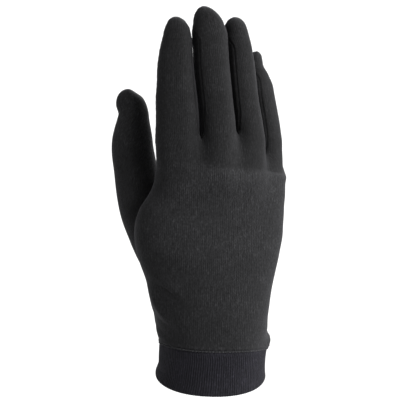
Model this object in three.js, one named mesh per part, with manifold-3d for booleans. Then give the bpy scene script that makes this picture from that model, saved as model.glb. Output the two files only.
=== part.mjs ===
// A thin knitted glove liner for the right hand, kept in its worn shape.
// Millimetres, +Z up along the hand, back of the hand facing -Y, thumb on the -X side.
// The origin is the middle of the cuff's mouth, and the hem lies in the plane z = 0.
import * as THREE from "three";
import Module from "manifold-3d";

// Driving sizes
const cuffHeight = 26.5;
const cuffSideHeight = 20.5;
const handLength = 210.5;
const wristBreadth = 70;
const wristDepth = 62;
const handBreadth = 96;
const handDepth = 46;
const fingerBreadth = 24;
const fingerDepth = 24;
const thumbBreadth = 31;
const thumbDepth = 30;
const clothThickness = 1.2;
const cuffThickness = 2.0;
const seamGap = 0.3;
const fingerClearance = 0.4;
const tipRounding = 11;
const thumbTipRounding = 11;
const fourchetteHalfAngle = THREE.MathUtils.degToRad(40);
const sidewaysLean = 0.03;

// Shape of the superellipse that every section follows: 2 is an ellipse, more is squarer
const palmPower = 2.15;
const fingerPower = 2.3;
const thumbPower = 2.2;

// Roundness of the finger and thumb tips seen from the side
const tipPower = 2.2;
const thumbTipPower = 2.4;

// How far the cuff's seam stands above the cuff's height in the middle of the back, and rows of the
// share of the way across the back and the share of its rise from the sides
const cuffSeamArch = 1.8;
const cuffSeamRows = [
  [0, 0],
  [0.06, 0.36],
  [0.125, 0.64],
  [0.19, 0.86],
  [0.25, 0.96],
  [0.5, 1],
  [0.75, 0.98],
  [0.81, 0.80],
  [0.875, 0.50],
  [0.94, 0.15],
  [1, 0],
];

// The fingers' turn at the cuff, as a share of the whole turn, and where it is complete
const turnAtCuff = 0.2;
const turnedAt = 0.432;

// Lean of the hand towards the palm, in degrees, by share of the hand's length above the cuff
const leanRows = [
  [0, 0],
  [0.02, 0],
  [0.16, 6],
  [0.35, 12],
  [0.56, 17],
  [0.78, 23],
  [1, 27],
];

// Sections of the cuff: share of cuff height, thumb side, little side (shares of wrist breadth),
// half depth (share of wrist depth)
const cuffRows = [
  [0, -0.503, 0.507, 0.556],
  [0.12, -0.486, 0.503, 0.544],
  [0.25, -0.472, 0.502, 0.531],
  [0.45, -0.469, 0.505, 0.516],
  [0.83, -0.463, 0.517, 0.500],
];

// Sections of the wrist and palm: share of hand length, how much of the hand's own size (0 wrist,
// 1 hand), thumb side, little side (shares of breadth), middle and half depth (shares of depth), tilt
const palmRows = [
  [0.017, 0, -0.492, 0.516, 0.00, 0.492, 0],
  [0.088, 0.2, -0.497, 0.494, 0.00, 0.480, 2],
  [0.160, 0.4, -0.499, 0.489, 0.02, 0.468, 4],
  [0.254, 0.8, -0.516, 0.485, 0.06, 0.485, 8],
  [0.325, 1, -0.505, 0.490, 0.11, 0.478, 12],
  [0.387, 1, -0.500, 0.502, 0.15, 0.446, 15],
  [0.435, 1, -0.455, 0.504, 0.20, 0.413, 17],
  [0.482, 1, -0.411, 0.490, 0.22, 0.391, 19],
  [1, 1, -0.365, 0.479, 0.24, 0.370, 20],
];

// The four fingers. Sections: share of hand length, half breadth, half depth (shares of finger size).
// The turn is how far each finger's back faces the little side.
const fingers = [
  {
    name: "index",
    tip: 0.960,
    turn: -4,
    sections: [
      [0.00, 0.42, 0.67], [0.35, 0.54, 0.65], [0.49, 0.60, 0.60], [0.59, 0.577, 0.51], [0.70, 0.550, 0.45],
      [0.76, 0.505, 0.43], [0.82, 0.465, 0.40], [0.875, 0.412, 0.37], [0.925, 0.335, 0.33], [1, 0.29, 0.29],
    ],
  },
  {
    name: "middle",
    tip: 1,
    turn: 10,
    sections: [
      [0.00, 0.33, 0.67], [0.35, 0.46, 0.67], [0.49, 0.483, 0.63], [0.59, 0.470, 0.51], [0.71, 0.463, 0.45],
      [0.82, 0.467, 0.43], [0.905, 0.467, 0.38], [0.955, 0.390, 0.33], [1, 0.320, 0.29],
    ],
  },
  {
    name: "ring",
    tip: 0.983,
    turn: 30,
    sections: [
      [0.00, 0.29, 0.67], [0.35, 0.417, 0.63], [0.49, 0.458, 0.58], [0.59, 0.430, 0.48], [0.71, 0.400, 0.41],
      [0.82, 0.390, 0.38], [0.89, 0.354, 0.34], [0.94, 0.312, 0.31], [1, 0.295, 0.28],
    ],
  },
  {
    name: "little",
    tip: 0.893,
    turn: 50,
    sections: [
      [0.00, 0.33, 0.67], [0.35, 0.438, 0.58], [0.49, 0.431, 0.490], [0.53, 0.372, 0.415],
      [0.59, 0.364, 0.387], [0.71, 0.380, 0.376], [0.78, 0.366, 0.356], [0.82, 0.302, 0.30],
      [0.853, 0.222, 0.225], [1, 0.185, 0.185],
    ],
  },
];

// Middle of the middle finger across the hand, by share of hand length, as a share of finger breadth
const middleRows = [
  [0, -0.17],
  [0.16, -0.17],
  [0.44, 0.12],
  [0.59, 0.19],
  [0.66, 0.165],
  [0.73, 0.10],
  [0.82, 0.02],
  [0.91, -0.02],
  [0.955, -0.06],
  [1, -0.16],
];

// The three crotches: the two fingers' order, share of hand length where they part, and rows of
// share of hand length, angle between the neighbours' middles, spare room (share of finger breadth)
const crotches = [
  {
    name: "fourchette_index_middle",
    height: 0.598,
    step: [[0.10, 0, -0.25], [0.35, 2, -0.2], [0.50, 5, -0.14], [0.56, 8, -0.05], [0.598, 9, 0],
      [0.75, 12, 0], [0.88, 12, 0], [0.925, 11, 0.05], [0.96, 10, 0.135], [1, 10, 0.18]],
  },
  {
    name: "fourchette_middle_ring",
    height: 0.615,
    step: [[0.10, 2, -0.25], [0.35, 14, -0.2], [0.50, 24, -0.14], [0.57, 28, -0.05], [0.615, 30, 0],
      [0.73, 31, 0], [0.80, 31, 0.02], [0.905, 30, 0.03], [0.943, 30, 0.09], [1, 30, 0.32]],
  },
  {
    name: "fourchette_ring_little",
    height: 0.563,
    step: [[0.10, 4, -0.25], [0.35, 24, -0.2], [0.46, 38, -0.14], [0.52, 44, -0.05], [0.563, 48, 0],
      [0.73, 50, 0], [0.835, 51, 0], [0.865, 51, 0.08], [0.891, 51, 0.20], [1, 51, 0.20]],
  },
];

// Where the palm's oval turns into the four fingers side by side, and how softly the grooves between
// them are filled: shares of hand length, softness as a share of finger breadth
const mergeStart = 0.33;
const mergeEnd = 0.54;
const softAtCrotch = 0.10;
const softBelow = 0.38;
const softReach = 0.14;

// How far the side seam below the index finger turns towards the palm, in degrees
const sideSeamRows = [
  [0, 0],
  [0.10, 15],
  [0.25, 25],
  [0.40, 22],
  [0.54, 5],
  [0.59, 0],
];

// Dents and swellings of the cloth: share of hand length, place across (share of hand breadth) and in
// depth (share of hand depth, negative on the back), and reach along, reach around and how far the
// cloth sinks (shares of hand breadth)
const reliefRows = [
  { along: 0.245, across: -0.37, deep: -0.30, reachAlong: 0.07, reachAround: 0.12, sinks: 0.0167 },
  { along: 0.075, across: -0.29, deep: -0.37, reachAlong: 0.11, reachAround: 0.10, sinks: 0.0146 },
  { along: 0.165, across: -0.33, deep: -0.30, reachAlong: 0.05, reachAround: 0.09, sinks: -0.0060 },
  { along: -0.008, across: 0.37, deep: 0.00, reachAlong: 0.034, reachAround: 0.13, sinks: -0.0280 },
];

// The thumb's middle line and sections: share of its length, across (share of hand breadth), depth
// (share of hand depth), height (share of hand length), half breadth and half depth
const thumbRows = [
  [0.00, -0.28, 0.20, 0.16, 0.36, 0.36],
  [0.10, -0.350, 0.33, 0.215, 0.43, 0.45],
  [0.22, -0.415, 0.46, 0.285, 0.48, 0.50],
  [0.38, -0.492, 0.62, 0.368, 0.475, 0.483],
  [0.55, -0.538, 0.77, 0.463, 0.452, 0.433],
  [0.72, -0.566, 0.88, 0.549, 0.421, 0.387],
  [0.86, -0.567, 0.96, 0.625, 0.324, 0.327],
  [1.00, -0.624, 1.03, 0.701, 0.268, 0.255],
];

// How finely the surfaces are divided
const columnsPerFinger = 5;
const columnsPerWall = 2;
const thumbColumns = 20;
const bodyShares = [0, 0.05, 0.12, 0.2, 0.29, 0.38, 0.47, 0.56, 0.65, 0.74, 0.83, 0.92, 1];
const fingerShares = [0, 0.05, 0.13, 0.23, 0.34, 0.46, 0.58, 0.7, 0.8, 0.88, 0.935, 0.975, 1];
const joinedRow = 3;
const fourchetteClosingRow = 7;
const fourchetteEndRow = 9;
const thumbShares = [
  0, 0.08, 0.16, 0.24, 0.32, 0.4, 0.48, 0.56, 0.64, 0.72, 0.8, 0.87, 0.92, 0.96, 0.985, 1,
];
const cuffShares = [0, 0.33, 0.66, 1];
const spineSteps = 240;
const spineMargin = 1.02;
const rayStride = 1.5;
const rayHalvings = 16;
const keysPerMillimetre = 2000;

const gloveLength = cuffHeight + handLength;
const BACK = -1;
const PALM = 1;

// Smooth curve through the rows of a table, without overshoot
function curve(x, rows, column = 1) {
  const last = rows.length - 1;
  if (x <= rows[0][0]) return rows[0][column];
  if (x >= rows[last][0]) return rows[last][column];
  const slope = (k) => (rows[k + 1][column] - rows[k][column]) / (rows[k + 1][0] - rows[k][0]);
  const tangent = (k) => {
    if (k === 0) return slope(0);
    if (k === last) return slope(last - 1);
    const before = slope(k - 1);
    const after = slope(k);
    return before * after > 0 ? (2 * before * after) / (before + after) : 0;
  };
  let k = 0;
  while (x > rows[k + 1][0]) k += 1;
  const width = rows[k + 1][0] - rows[k][0];
  const s = (x - rows[k][0]) / width;
  return (2 * s ** 3 - 3 * s ** 2 + 1) * rows[k][column]
    + (s ** 3 - 2 * s ** 2 + s) * width * tangent(k)
    + (3 * s ** 2 - 2 * s ** 3) * rows[k + 1][column]
    + (s ** 3 - s ** 2) * width * tangent(k + 1);
}

const smoothstep = (x) => THREE.MathUtils.smoothstep(x, 0, 1);
const mix = THREE.MathUtils.lerp;

// Places along the hand are measured from the hem; these turn shares into millimetres and back
const heightOf = (share) => cuffHeight + share * handLength;
const shareOf = (along) => (along - cuffHeight) / handLength;

// The hand's middle line: a walk along it that turns towards the palm by the lean
const spine = [{ along: 0, y: 0, z: 0, lean: 0 }];
for (let step = 1; step <= spineSteps; step += 1) {
  const along = (gloveLength * spineMargin * step) / spineSteps;
  const lean = THREE.MathUtils.degToRad(curve(shareOf(along), leanRows));
  const before = spine[step - 1];
  const middle = (lean + before.lean) / 2;
  const length = along - before.along;
  spine.push({
    along,
    lean,
    y: before.y + length * Math.sin(middle),
    z: before.z + length * Math.cos(middle),
  });
}

// Point at a place across the hand, a depth towards the palm and a distance along the middle line
function place(across, depth, along) {
  const position = THREE.MathUtils.clamp(along / spine[1].along, 0, spineSteps - 0.001);
  const k = Math.floor(position);
  const s = position - k;
  const lean = mix(spine[k].lean, spine[k + 1].lean, s);
  return new THREE.Vector3(
    across - sidewaysLean * along,
    mix(spine[k].y, spine[k + 1].y, s) + depth * Math.cos(lean),
    mix(spine[k].z, spine[k + 1].z, s) - depth * Math.sin(lean),
  );
}

// Distance from a turned superellipse, negative inside it
function ovalDistance(across, depth, oval, power) {
  const dp = across - oval.across;
  const dq = depth - oval.depth;
  const x = dp * Math.cos(oval.turn) + dq * Math.sin(oval.turn);
  const y = dq * Math.cos(oval.turn) - dp * Math.sin(oval.turn);
  const powers = Math.abs(x / oval.halfBreadth) ** power + Math.abs(y / oval.halfDepth) ** power;
  const reach = powers ** (1 / power);
  return Math.hypot(x, y) * (1 - 1 / Math.max(reach, 1e-9));
}

// Reach of a turned superellipse in one direction, which spaces two that touch
function support(oval, direction) {
  const angle = direction - oval.turn;
  const power = fingerPower / (fingerPower - 1);
  return (Math.abs(oval.halfBreadth * Math.cos(angle)) ** power
    + Math.abs(oval.halfDepth * Math.sin(angle)) ** power) ** (1 / power);
}

// The four finger sections at one height: each is set beside its neighbour so that they just clear
const sectionCache = new Map();
function fingerSections(along) {
  if (sectionCache.has(along)) return sectionCache.get(along);
  const share = shareOf(along);
  const turned = THREE.MathUtils.clamp(mix(turnAtCuff, 1, share / turnedAt), 0, 1);
  const ovals = fingers.map((finger) => ({
    across: 0,
    depth: 0,
    turn: THREE.MathUtils.degToRad(finger.turn) * turned,
    halfBreadth: curve(share, finger.sections, 1) * fingerBreadth,
    halfDepth: curve(share, finger.sections, 2) * fingerDepth,
  }));
  ovals[1].across = curve(share, middleRows) * fingerBreadth;
  const links = [[1, 0, -1, 0], [1, 2, 1, 1], [2, 3, 1, 2]];
  for (const [from, to, direction, crotch] of links) {
    const angle = THREE.MathUtils.degToRad(curve(share, crotches[crotch].step, 1));
    const spare = fingerClearance + curve(share, crotches[crotch].step, 2) * fingerBreadth;
    const distance = support(ovals[from], angle) + support(ovals[to], angle) + spare;
    ovals[to].across = ovals[from].across + direction * distance * Math.cos(angle);
    ovals[to].depth = ovals[from].depth + direction * distance * Math.sin(angle);
  }
  sectionCache.set(along, ovals);
  return ovals;
}

// The oval of the cuff, wrist and palm at one height
function palmOval(along) {
  const share = shareOf(along);
  const cuffShare = along / cuffHeight;
  const firstPalmShare = 1 + (palmRows[0][0] * handLength) / cuffHeight;
  let left;
  let right;
  let middle = 0;
  let halfDepth;
  let turn = 0;
  if (cuffShare < firstPalmShare) {
    const [, , thumbSide, littleSide, , depthShare] = palmRows[0];
    const rows = [...cuffRows, [firstPalmShare, thumbSide, littleSide, depthShare]];
    left = curve(cuffShare, rows, 1) * wristBreadth;
    right = curve(cuffShare, rows, 2) * wristBreadth;
    halfDepth = curve(cuffShare, rows, 3) * wristDepth;
  } else {
    const ofHand = curve(share, palmRows, 1);
    const breadth = mix(wristBreadth, handBreadth, ofHand);
    const depth = mix(wristDepth, handDepth, ofHand);
    left = curve(share, palmRows, 2) * breadth;
    right = curve(share, palmRows, 3) * breadth;
    middle = curve(share, palmRows, 4) * depth;
    halfDepth = curve(share, palmRows, 5) * depth;
    turn = THREE.MathUtils.degToRad(curve(share, palmRows, 6));
  }
  return { across: (left + right) / 2, depth: middle, halfBreadth: (right - left) / 2, halfDepth, turn };
}

// Dents and swellings at a place, in millimetres inwards
function relief(across, depth, along) {
  return reliefRows.reduce((sum, row) => {
    const up = (along - heightOf(row.along)) / (row.reachAlong * handBreadth);
    const apart = Math.hypot(across - row.across * handBreadth, depth - row.deep * handDepth);
    const around = apart / (row.reachAround * handBreadth);
    return sum + row.sinks * handBreadth * Math.exp(-up * up - around * around);
  }, 0);
}

// Distance from the hand's surface below the crotches: the palm's oval turning into four fingers
// whose grooves are softly filled
function handField(across, depth, along) {
  const share = shareOf(along);
  const merged = smoothstep((share - mergeStart) / (mergeEnd - mergeStart));
  const oval = merged < 1 ? ovalDistance(across, depth, palmOval(along), palmPower) : 0;
  let union = 0;
  if (merged > 0) {
    const sections = fingerSections(along);
    const distances = sections.map((section) => ovalDistance(across, depth, section, fingerPower));
    const nearest = Math.min(...distances);
    union = crotches.reduce((sum, crotch, j) => {
      const below = THREE.MathUtils.clamp((crotch.height - share) / softReach, 0, 1);
      const soft = mix(softAtCrotch, softBelow, below) * fingerBreadth;
      const apart = Math.min(distances[j], distances[j + 1]) - nearest;
      const difference = Math.abs(distances[j] - distances[j + 1]);
      return sum - soft * Math.log1p(Math.exp(-difference / soft)) * Math.exp(-apart / soft);
    }, nearest);
  }
  return mix(oval, union, merged) + relief(across, depth, along);
}

// Where a ray from inside the hand first meets its surface: coarse strides, then halving
function castRay(from, direction, along) {
  const spotAt = (reach) => ({
    across: from.across + reach * direction.across,
    depth: from.depth + reach * direction.depth,
  });
  const insideAt = (reach) => {
    const spot = spotAt(reach);
    return handField(spot.across, spot.depth, along) < 0;
  };
  let high = rayStride;
  while (high < handBreadth && insideAt(high)) high += rayStride;
  let low = high - rayStride;
  for (let step = 0; step < rayHalvings; step += 1) {
    const middle = (low + high) / 2;
    if (insideAt(middle)) low = middle;
    else high = middle;
  }
  return spotAt(low);
}

// Bottom of the groove between two neighbouring fingers, on the back or on the palm
const grooveCache = new Map();
function groove(crotch, along, side) {
  const key = `${crotch} ${side} ${along}`;
  if (!grooveCache.has(key)) {
    const sections = fingerSections(along);
    const [first, second] = [sections[crotch], sections[crotch + 1]];
    const angle = Math.atan2(second.depth - first.depth, second.across - first.across);
    const share = support(first, angle) / (support(first, angle) + support(second, angle));
    const from = {
      across: mix(first.across, second.across, share),
      depth: mix(first.depth, second.depth, share),
    };
    const direction = { across: -side * Math.sin(angle), depth: side * Math.cos(angle) };
    grooveCache.set(key, castRay(from, direction, along));
  }
  return grooveCache.get(key);
}

// Bearing of a place seen from a finger's middle: 0 towards the little side, negative on the back
function bearingOf(section, spot) {
  const dp = spot.across - section.across;
  const dq = spot.depth - section.depth;
  return Math.atan2(
    dq * Math.cos(section.turn) - dp * Math.sin(section.turn),
    dp * Math.cos(section.turn) + dq * Math.sin(section.turn),
  );
}

// Height of the seam between cuff and hand: level on the palm, higher in the middle of the back
function cuffSeamHeight(column, side) {
  const across = column / (columnsPerFinger * fingers.length);
  const raised = side === BACK ? curve(across, cuffSeamRows) : 0;
  return mix(cuffSideHeight, cuffHeight + cuffSeamArch, raised);
}

// Point of the hand below the crotches, in one finger's strip: u runs from the thumb side to the
// little side
function stripSpot(finger, side, u, along) {
  if (u === 0 && finger > 0) return groove(finger - 1, along, side);
  if (u === 1 && finger < fingers.length - 1) return groove(finger, along, side);
  const section = fingerSections(along)[finger];
  const seamTurn = THREE.MathUtils.degToRad(curve(shareOf(along), sideSeamRows));
  let start = side * (Math.PI - side * seamTurn);
  if (finger > 0) start = bearingOf(section, groove(finger - 1, along, side));
  let end = 0;
  if (finger < fingers.length - 1) end = bearingOf(section, groove(finger, along, side));
  if (side === BACK && start > 0) start -= 2 * Math.PI;
  const bearing = mix(start, end, u);
  const direction = {
    across: Math.cos(bearing + section.turn),
    depth: Math.sin(bearing + section.turn),
  };
  return castRay(section, direction, along);
}

// Point of a finger's tube above the crotches. joined is how far it still follows the filled grooves
// of the hand below, which fade out just above each crotch.
function fingerSpot(finger, bearing, along, joined = 0) {
  const section = fingerSections(along)[finger];
  const tip = heightOf(fingers[finger].tip);
  const nearTip = THREE.MathUtils.clamp((along - tip + tipRounding) / tipRounding, 0, 1);
  const shrink = Math.sqrt(Math.max(0, 1 - nearTip ** tipPower));
  const direction = { across: Math.cos(bearing + section.turn), depth: Math.sin(bearing + section.turn) };
  let reach = shrink / (Math.abs(Math.cos(bearing) / section.halfBreadth) ** fingerPower
    + Math.abs(Math.sin(bearing) / section.halfDepth) ** fingerPower) ** (1 / fingerPower);
  if (joined > 0) {
    const filled = castRay(section, direction, along);
    reach = mix(reach, Math.hypot(filled.across - section.across, filled.depth - section.depth), joined);
  }
  return {
    across: section.across + reach * direction.across,
    depth: section.depth + reach * direction.depth,
  };
}

// How far a finger's row still follows the hand's filled grooves
const joinedAt = (share) => 1 - smoothstep(share / fingerShares[joinedRow]);

// Height along the hand of a finger's row: rows rise from the line between its crotches to its tip
function fingerRowHeight(finger, u, share) {
  const left = heightOf(crotches[Math.max(finger - 1, 0)].height);
  const right = heightOf(crotches[Math.min(finger, crotches.length - 1)].height);
  const base = mix(left, right, u);
  return base + (heightOf(fingers[finger].tip) - base) * share;
}

// Bearing of the seam between the back or palm and the strip that faces a neighbour. It starts at the
// bottom of the groove, keeps a fixed angle to the line between the two fingers and closes below the
// tip. end 0 is the thumb side, 1 the little side.
function seamBearing(finger, side, end, share) {
  const outermost = end === 0 ? finger === 0 : finger === fingers.length - 1;
  if (outermost) return end === 0 ? side * Math.PI : 0;
  const crotch = finger - 1 + end;
  const along = fingerRowHeight(finger, end, share);
  const step = THREE.MathUtils.degToRad(curve(shareOf(along), crotches[crotch].step, 1));
  const facing = step - fingerSections(along)[finger].turn + (end === 0 ? side * Math.PI : 0);
  const settled = facing + (end === 0 ? -side : side) * fourchetteHalfAngle;
  const base = heightOf(crotches[crotch].height);
  let atCrotch = bearingOf(fingerSections(base)[finger], groove(crotch, base, side));
  if (end === 0 && Math.sign(atCrotch) !== side) atCrotch += side * 2 * Math.PI;
  const opened = mix(atCrotch, settled, smoothstep(share / fingerShares[joinedRow]));
  const closing = fingerShares[fourchetteClosingRow];
  const closed = fingerShares[fourchetteEndRow];
  const axis = end === 0 ? side * Math.PI : 0;
  return mix(opened, axis, smoothstep((share - closing) / (closed - closing)));
}

// Surface of the back or the palm as one grid for each finger's strip and one for its tube
function coverGrids(side) {
  const grids = [];
  fingers.forEach((finger, i) => {
    const strip = bodyShares.map((share) => {
      const row = [];
      for (let c = 0; c <= columnsPerFinger; c += 1) {
        const u = c / columnsPerFinger;
        const seam = cuffSeamHeight(i * columnsPerFinger + c, side);
        const along = mix(seam, fingerRowHeight(i, u, 0), share);
        const spot = stripSpot(i, side, u, along);
        row.push(place(spot.across, spot.depth, along));
      }
      return row;
    });
    const tube = fingerShares.slice(1).map((share) => {
      const row = [];
      const start = seamBearing(i, side, 0, share);
      const end = seamBearing(i, side, 1, share);
      for (let c = 0; c <= columnsPerFinger; c += 1) {
        const u = c / columnsPerFinger;
        const along = fingerRowHeight(i, u, share);
        const atSeam = (c === 0 && i > 0) || (c === columnsPerFinger && i < fingers.length - 1);
        const spot = fingerSpot(i, mix(start, end, u), along, atSeam ? 0 : joinedAt(share));
        row.push(place(spot.across, spot.depth, along));
      }
      return row;
    });
    grids.push([...strip, ...tube]);
  });
  return grids;
}

// Strip between two fingers: down the first finger's side, across the web and up the second's
function fourchetteGrid(crotch) {
  const wall = (finger, end, row) => {
    const share = fingerShares[row];
    const along = fingerRowHeight(finger, end, share);
    const fromBack = seamBearing(finger, BACK, end, share);
    let toPalm = seamBearing(finger, PALM, end, share);
    if (end === 0) toPalm -= 2 * Math.PI;
    const points = [];
    for (let c = 0; c <= columnsPerWall; c += 1) {
      const spot = fingerSpot(finger, mix(fromBack, toPalm, c / columnsPerWall), along);
      points.push(place(spot.across, spot.depth, along));
    }
    return points;
  };
  const rows = [];
  for (let row = fourchetteEndRow; row > 0; row -= 1) rows.push(wall(crotch, 1, row));
  const along = heightOf(crotches[crotch].height);
  const [back, palm] = [groove(crotch, along, BACK), groove(crotch, along, PALM)];
  const web = [];
  for (let c = 0; c <= columnsPerWall; c += 1) {
    const v = c / columnsPerWall;
    web.push(place(mix(back.across, palm.across, v), mix(back.depth, palm.depth, v), along));
  }
  rows.push(web);
  for (let row = 1; row <= fourchetteEndRow; row += 1) rows.push(wall(crotch + 1, 0, row));
  return rows;
}

// The cuff's band, from the hem to just under its seam
function cuffGrids() {
  return [BACK, PALM].map((side) => cuffShares.map((share) => {
    const row = [];
    fingers.forEach((finger, i) => {
      for (let c = i === 0 ? 0 : 1; c <= columnsPerFinger; c += 1) {
        const seam = cuffSeamHeight(i * columnsPerFinger + c, side);
        const along = mix(-seamGap / 2, seam, share);
        const spot = stripSpot(i, side, c / columnsPerFinger, Math.max(along, 0));
        const point = place(spot.across, spot.depth, Math.max(along, 0));
        point.z = along;
        row.push(point);
      }
    });
    return row;
  }));
}

// The thumb's tube about its own middle line, closed at the tip
function thumbGrid() {
  const step = 0.02;
  const centre = (share) => new THREE.Vector3(
    curve(share, thumbRows, 1) * handBreadth,
    curve(share, thumbRows, 2) * handDepth,
    heightOf(curve(share, thumbRows, 3)),
  );
  const length = centre(0).distanceTo(centre(1));
  return thumbShares.map((share) => {
    const middle = centre(share);
    const ahead = centre(Math.min(share + step, 1));
    const along = ahead.sub(centre(Math.max(share - step, 0))).normalize();
    const across = along.clone().cross(new THREE.Vector3(0, -1, 0)).normalize();
    const deep = across.clone().cross(along);
    const nearTip = THREE.MathUtils.clamp(1 - ((1 - share) * length) / thumbTipRounding, 0, 1);
    const shrink = Math.sqrt(Math.max(0, 1 - nearTip ** thumbTipPower));
    const halfBreadth = curve(share, thumbRows, 4) * thumbBreadth;
    const halfDepth = curve(share, thumbRows, 5) * thumbDepth;
    const row = [];
    for (let c = 0; c <= thumbColumns; c += 1) {
      const angle = ((c % thumbColumns) / thumbColumns) * 2 * Math.PI;
      const reach = shrink / (Math.abs(Math.cos(angle) / halfBreadth) ** thumbPower
        + Math.abs(Math.sin(angle) / halfDepth) ** thumbPower) ** (1 / thumbPower);
      row.push(middle.clone()
        .addScaledVector(across, reach * Math.cos(angle))
        .addScaledVector(deep, reach * Math.sin(angle)));
    }
    return row;
  });
}

// A sheet of cloth without thickness: shared points and triangles that face outwards
const keyOf = (point) => point.toArray().map((value) => Math.round(value * keysPerMillimetre)).join(" ");
function sheetOf(grids, columnsFirst) {
  const sheet = { points: [], keys: [], triangles: [] };
  const index = new Map();
  const vertex = (point) => {
    const key = keyOf(point);
    if (!index.has(key)) {
      index.set(key, sheet.points.length);
      sheet.points.push(point);
      sheet.keys.push(key);
    }
    return index.get(key);
  };
  const triangle = (a, b, c) => {
    if (a === b || b === c || c === a) return;
    sheet.triangles.push(columnsFirst ? [a, b, c] : [a, c, b]);
  };
  for (const grid of grids) {
    for (let r = 0; r + 1 < grid.length; r += 1) {
      for (let c = 0; c + 1 < grid[r].length; c += 1) {
        const corners = [grid[r][c], grid[r][c + 1], grid[r + 1][c + 1], grid[r + 1][c]].map(vertex);
        triangle(corners[0], corners[1], corners[2]);
        triangle(corners[0], corners[2], corners[3]);
      }
    }
  }
  return sheet;
}

// Outward direction at every point, averaged over all the sheets that meet there
function sharedNormals(sheets) {
  const normals = new Map();
  for (const sheet of sheets) {
    for (const [a, b, c] of sheet.triangles) {
      const ab = sheet.points[b].clone().sub(sheet.points[a]);
      const ac = sheet.points[c].clone().sub(sheet.points[a]);
      const face = ab.cross(ac).normalize();
      for (const corner of [a, b, c]) {
        const key = sheet.keys[corner];
        if (!normals.has(key)) normals.set(key, new THREE.Vector3());
        normals.get(key).add(face);
      }
    }
  }
  for (const normal of normals.values()) normal.normalize();
  return normals;
}

// The edges of a sheet that belong to one triangle only, in the direction of that triangle
function openEdges(sheet) {
  const edges = new Map();
  for (const [a, b, c] of sheet.triangles) {
    for (const [from, to] of [[a, b], [b, c], [c, a]]) {
      if (edges.has(`${to} ${from}`)) edges.delete(`${to} ${from}`);
      else edges.set(`${from} ${to}`, [from, to]);
    }
  }
  return [...edges.values()];
}

// Geometry of a list of points and triangles
function geometryOf(points, triangles) {
  const geometry = new THREE.BufferGeometry();
  const positions = points.flatMap((point) => point.toArray());
  geometry.setAttribute("position", new THREE.Float32BufferAttribute(positions, 3));
  geometry.setIndex(triangles.flat());
  return geometry;
}

// A layer on a sheet: an outer face so far proud of it, an inner face so far below it and the edges
// between them. Each open edge is drawn back from the seam, or reaches past it where that is negative.
function layer(sheet, normals, { proud, below, drawnBack }) {
  const edges = openEdges(sheet);
  const tangents = new Map();
  for (const [from, to] of edges) {
    const direction = sheet.points[to].clone().sub(sheet.points[from]).normalize();
    for (const end of [from, to]) {
      if (!tangents.has(end)) tangents.set(end, new THREE.Vector3());
      tangents.get(end).add(direction);
    }
  }
  const count = sheet.points.length;
  const middle = sheet.points.map((point, i) => {
    if (!tangents.has(i)) return point.clone();
    const inward = normals.get(sheet.keys[i]).clone().cross(tangents.get(i)).normalize();
    return point.clone().addScaledVector(inward, drawnBack);
  });
  const shifted = (distance) => middle.map(
    (point, i) => point.clone().addScaledVector(normals.get(sheet.keys[i]), distance),
  );
  const triangles = [];
  for (const [a, b, c] of sheet.triangles) {
    triangles.push([a, b, c]);
    triangles.push([a + count, c + count, b + count]);
  }
  for (const [from, to] of edges) {
    triangles.push([to, from, from + count]);
    triangles.push([to, from + count, to + count]);
  }
  return geometryOf([...shifted(proud), ...shifted(-below)], triangles);
}

// Cloth of one thickness, drawn back by half the seam's gap
function cloth(sheet, normals, thickness) {
  return layer(sheet, normals, { proud: 0, below: thickness, drawnBack: seamGap / 2 });
}

// The room that a cloth and its seam's gap take, which trims the corners of the cloth beside it
function clearanceOf(sheet, normals) {
  return layer(sheet, normals, {
    proud: clothThickness,
    below: 2 * clothThickness,
    drawnBack: -seamGap / 3,
  });
}

// The space inside a sheet as one solid, grown by half the seam's gap, its open ends closed
function core(sheet, normals) {
  const points = sheet.points.map(
    (point, i) => point.clone().addScaledVector(normals.get(sheet.keys[i]), seamGap / 2),
  );
  const triangles = [...sheet.triangles];
  const next = new Map(openEdges(sheet));
  while (next.size > 0) {
    const loop = [];
    let at = next.keys().next().value;
    while (next.has(at)) {
      loop.push(at);
      const following = next.get(at);
      next.delete(at);
      at = following;
    }
    const middle = points.length;
    const sum = loop.reduce((total, i) => total.add(points[i]), new THREE.Vector3());
    points.push(sum.divideScalar(loop.length));
    loop.forEach((i, k) => triangles.push([loop[(k + 1) % loop.length], i, middle]));
  }
  return geometryOf(points, triangles);
}

const wasm = await Module();
wasm.setup();

// The part of one closed geometry that lies outside another, without the crumbs of the cut
function cutAway(geometry, tool) {
  const [body, cutter] = [geometry, tool].map((shape) => new wasm.Manifold(new wasm.Mesh({
    numProp: 3,
    vertProperties: new Float32Array(shape.getAttribute("position").array),
    triVerts: new Uint32Array(shape.getIndex().array),
  })));
  const [largest] = body.subtract(cutter).decompose().sort((a, b) => b.volume() - a.volume());
  const mesh = largest.getMesh();
  const result = new THREE.BufferGeometry();
  result.setAttribute("position", new THREE.BufferAttribute(new Float32Array(mesh.vertProperties), 3));
  result.setIndex(new THREE.BufferAttribute(new Uint32Array(mesh.triVerts), 1));
  return result;
}

const knit = { color: 0x1d1d20, roughness: 0.92, metalness: 0 };
const rib = { color: 0x1a1a20, roughness: 0.95, metalness: 0 };

const backGrids = coverGrids(BACK);
const palmGrids = coverGrids(PALM);
const backSheet = sheetOf(backGrids, true);
const palmSheet = sheetOf(palmGrids, false);
const fourchetteSheets = crotches.map((crotch, j) => sheetOf([fourchetteGrid(j)], false));
const [cuffBack, cuffPalm] = cuffGrids();
const cuffSheet = sheetOf([cuffBack, cuffPalm.map((row) => [...row].reverse())], true);
const thumbSheet = sheetOf([thumbGrid()], false);
const handNormals = sharedNormals([backSheet, palmSheet, ...fourchetteSheets]);
const cuffNormals = sharedNormals([cuffSheet]);
// The band's thickness is measured level, so that its hem is flat
for (const normal of cuffNormals.values()) normal.setZ(0).normalize();
const thumbNormals = sharedNormals([thumbSheet]);

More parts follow.
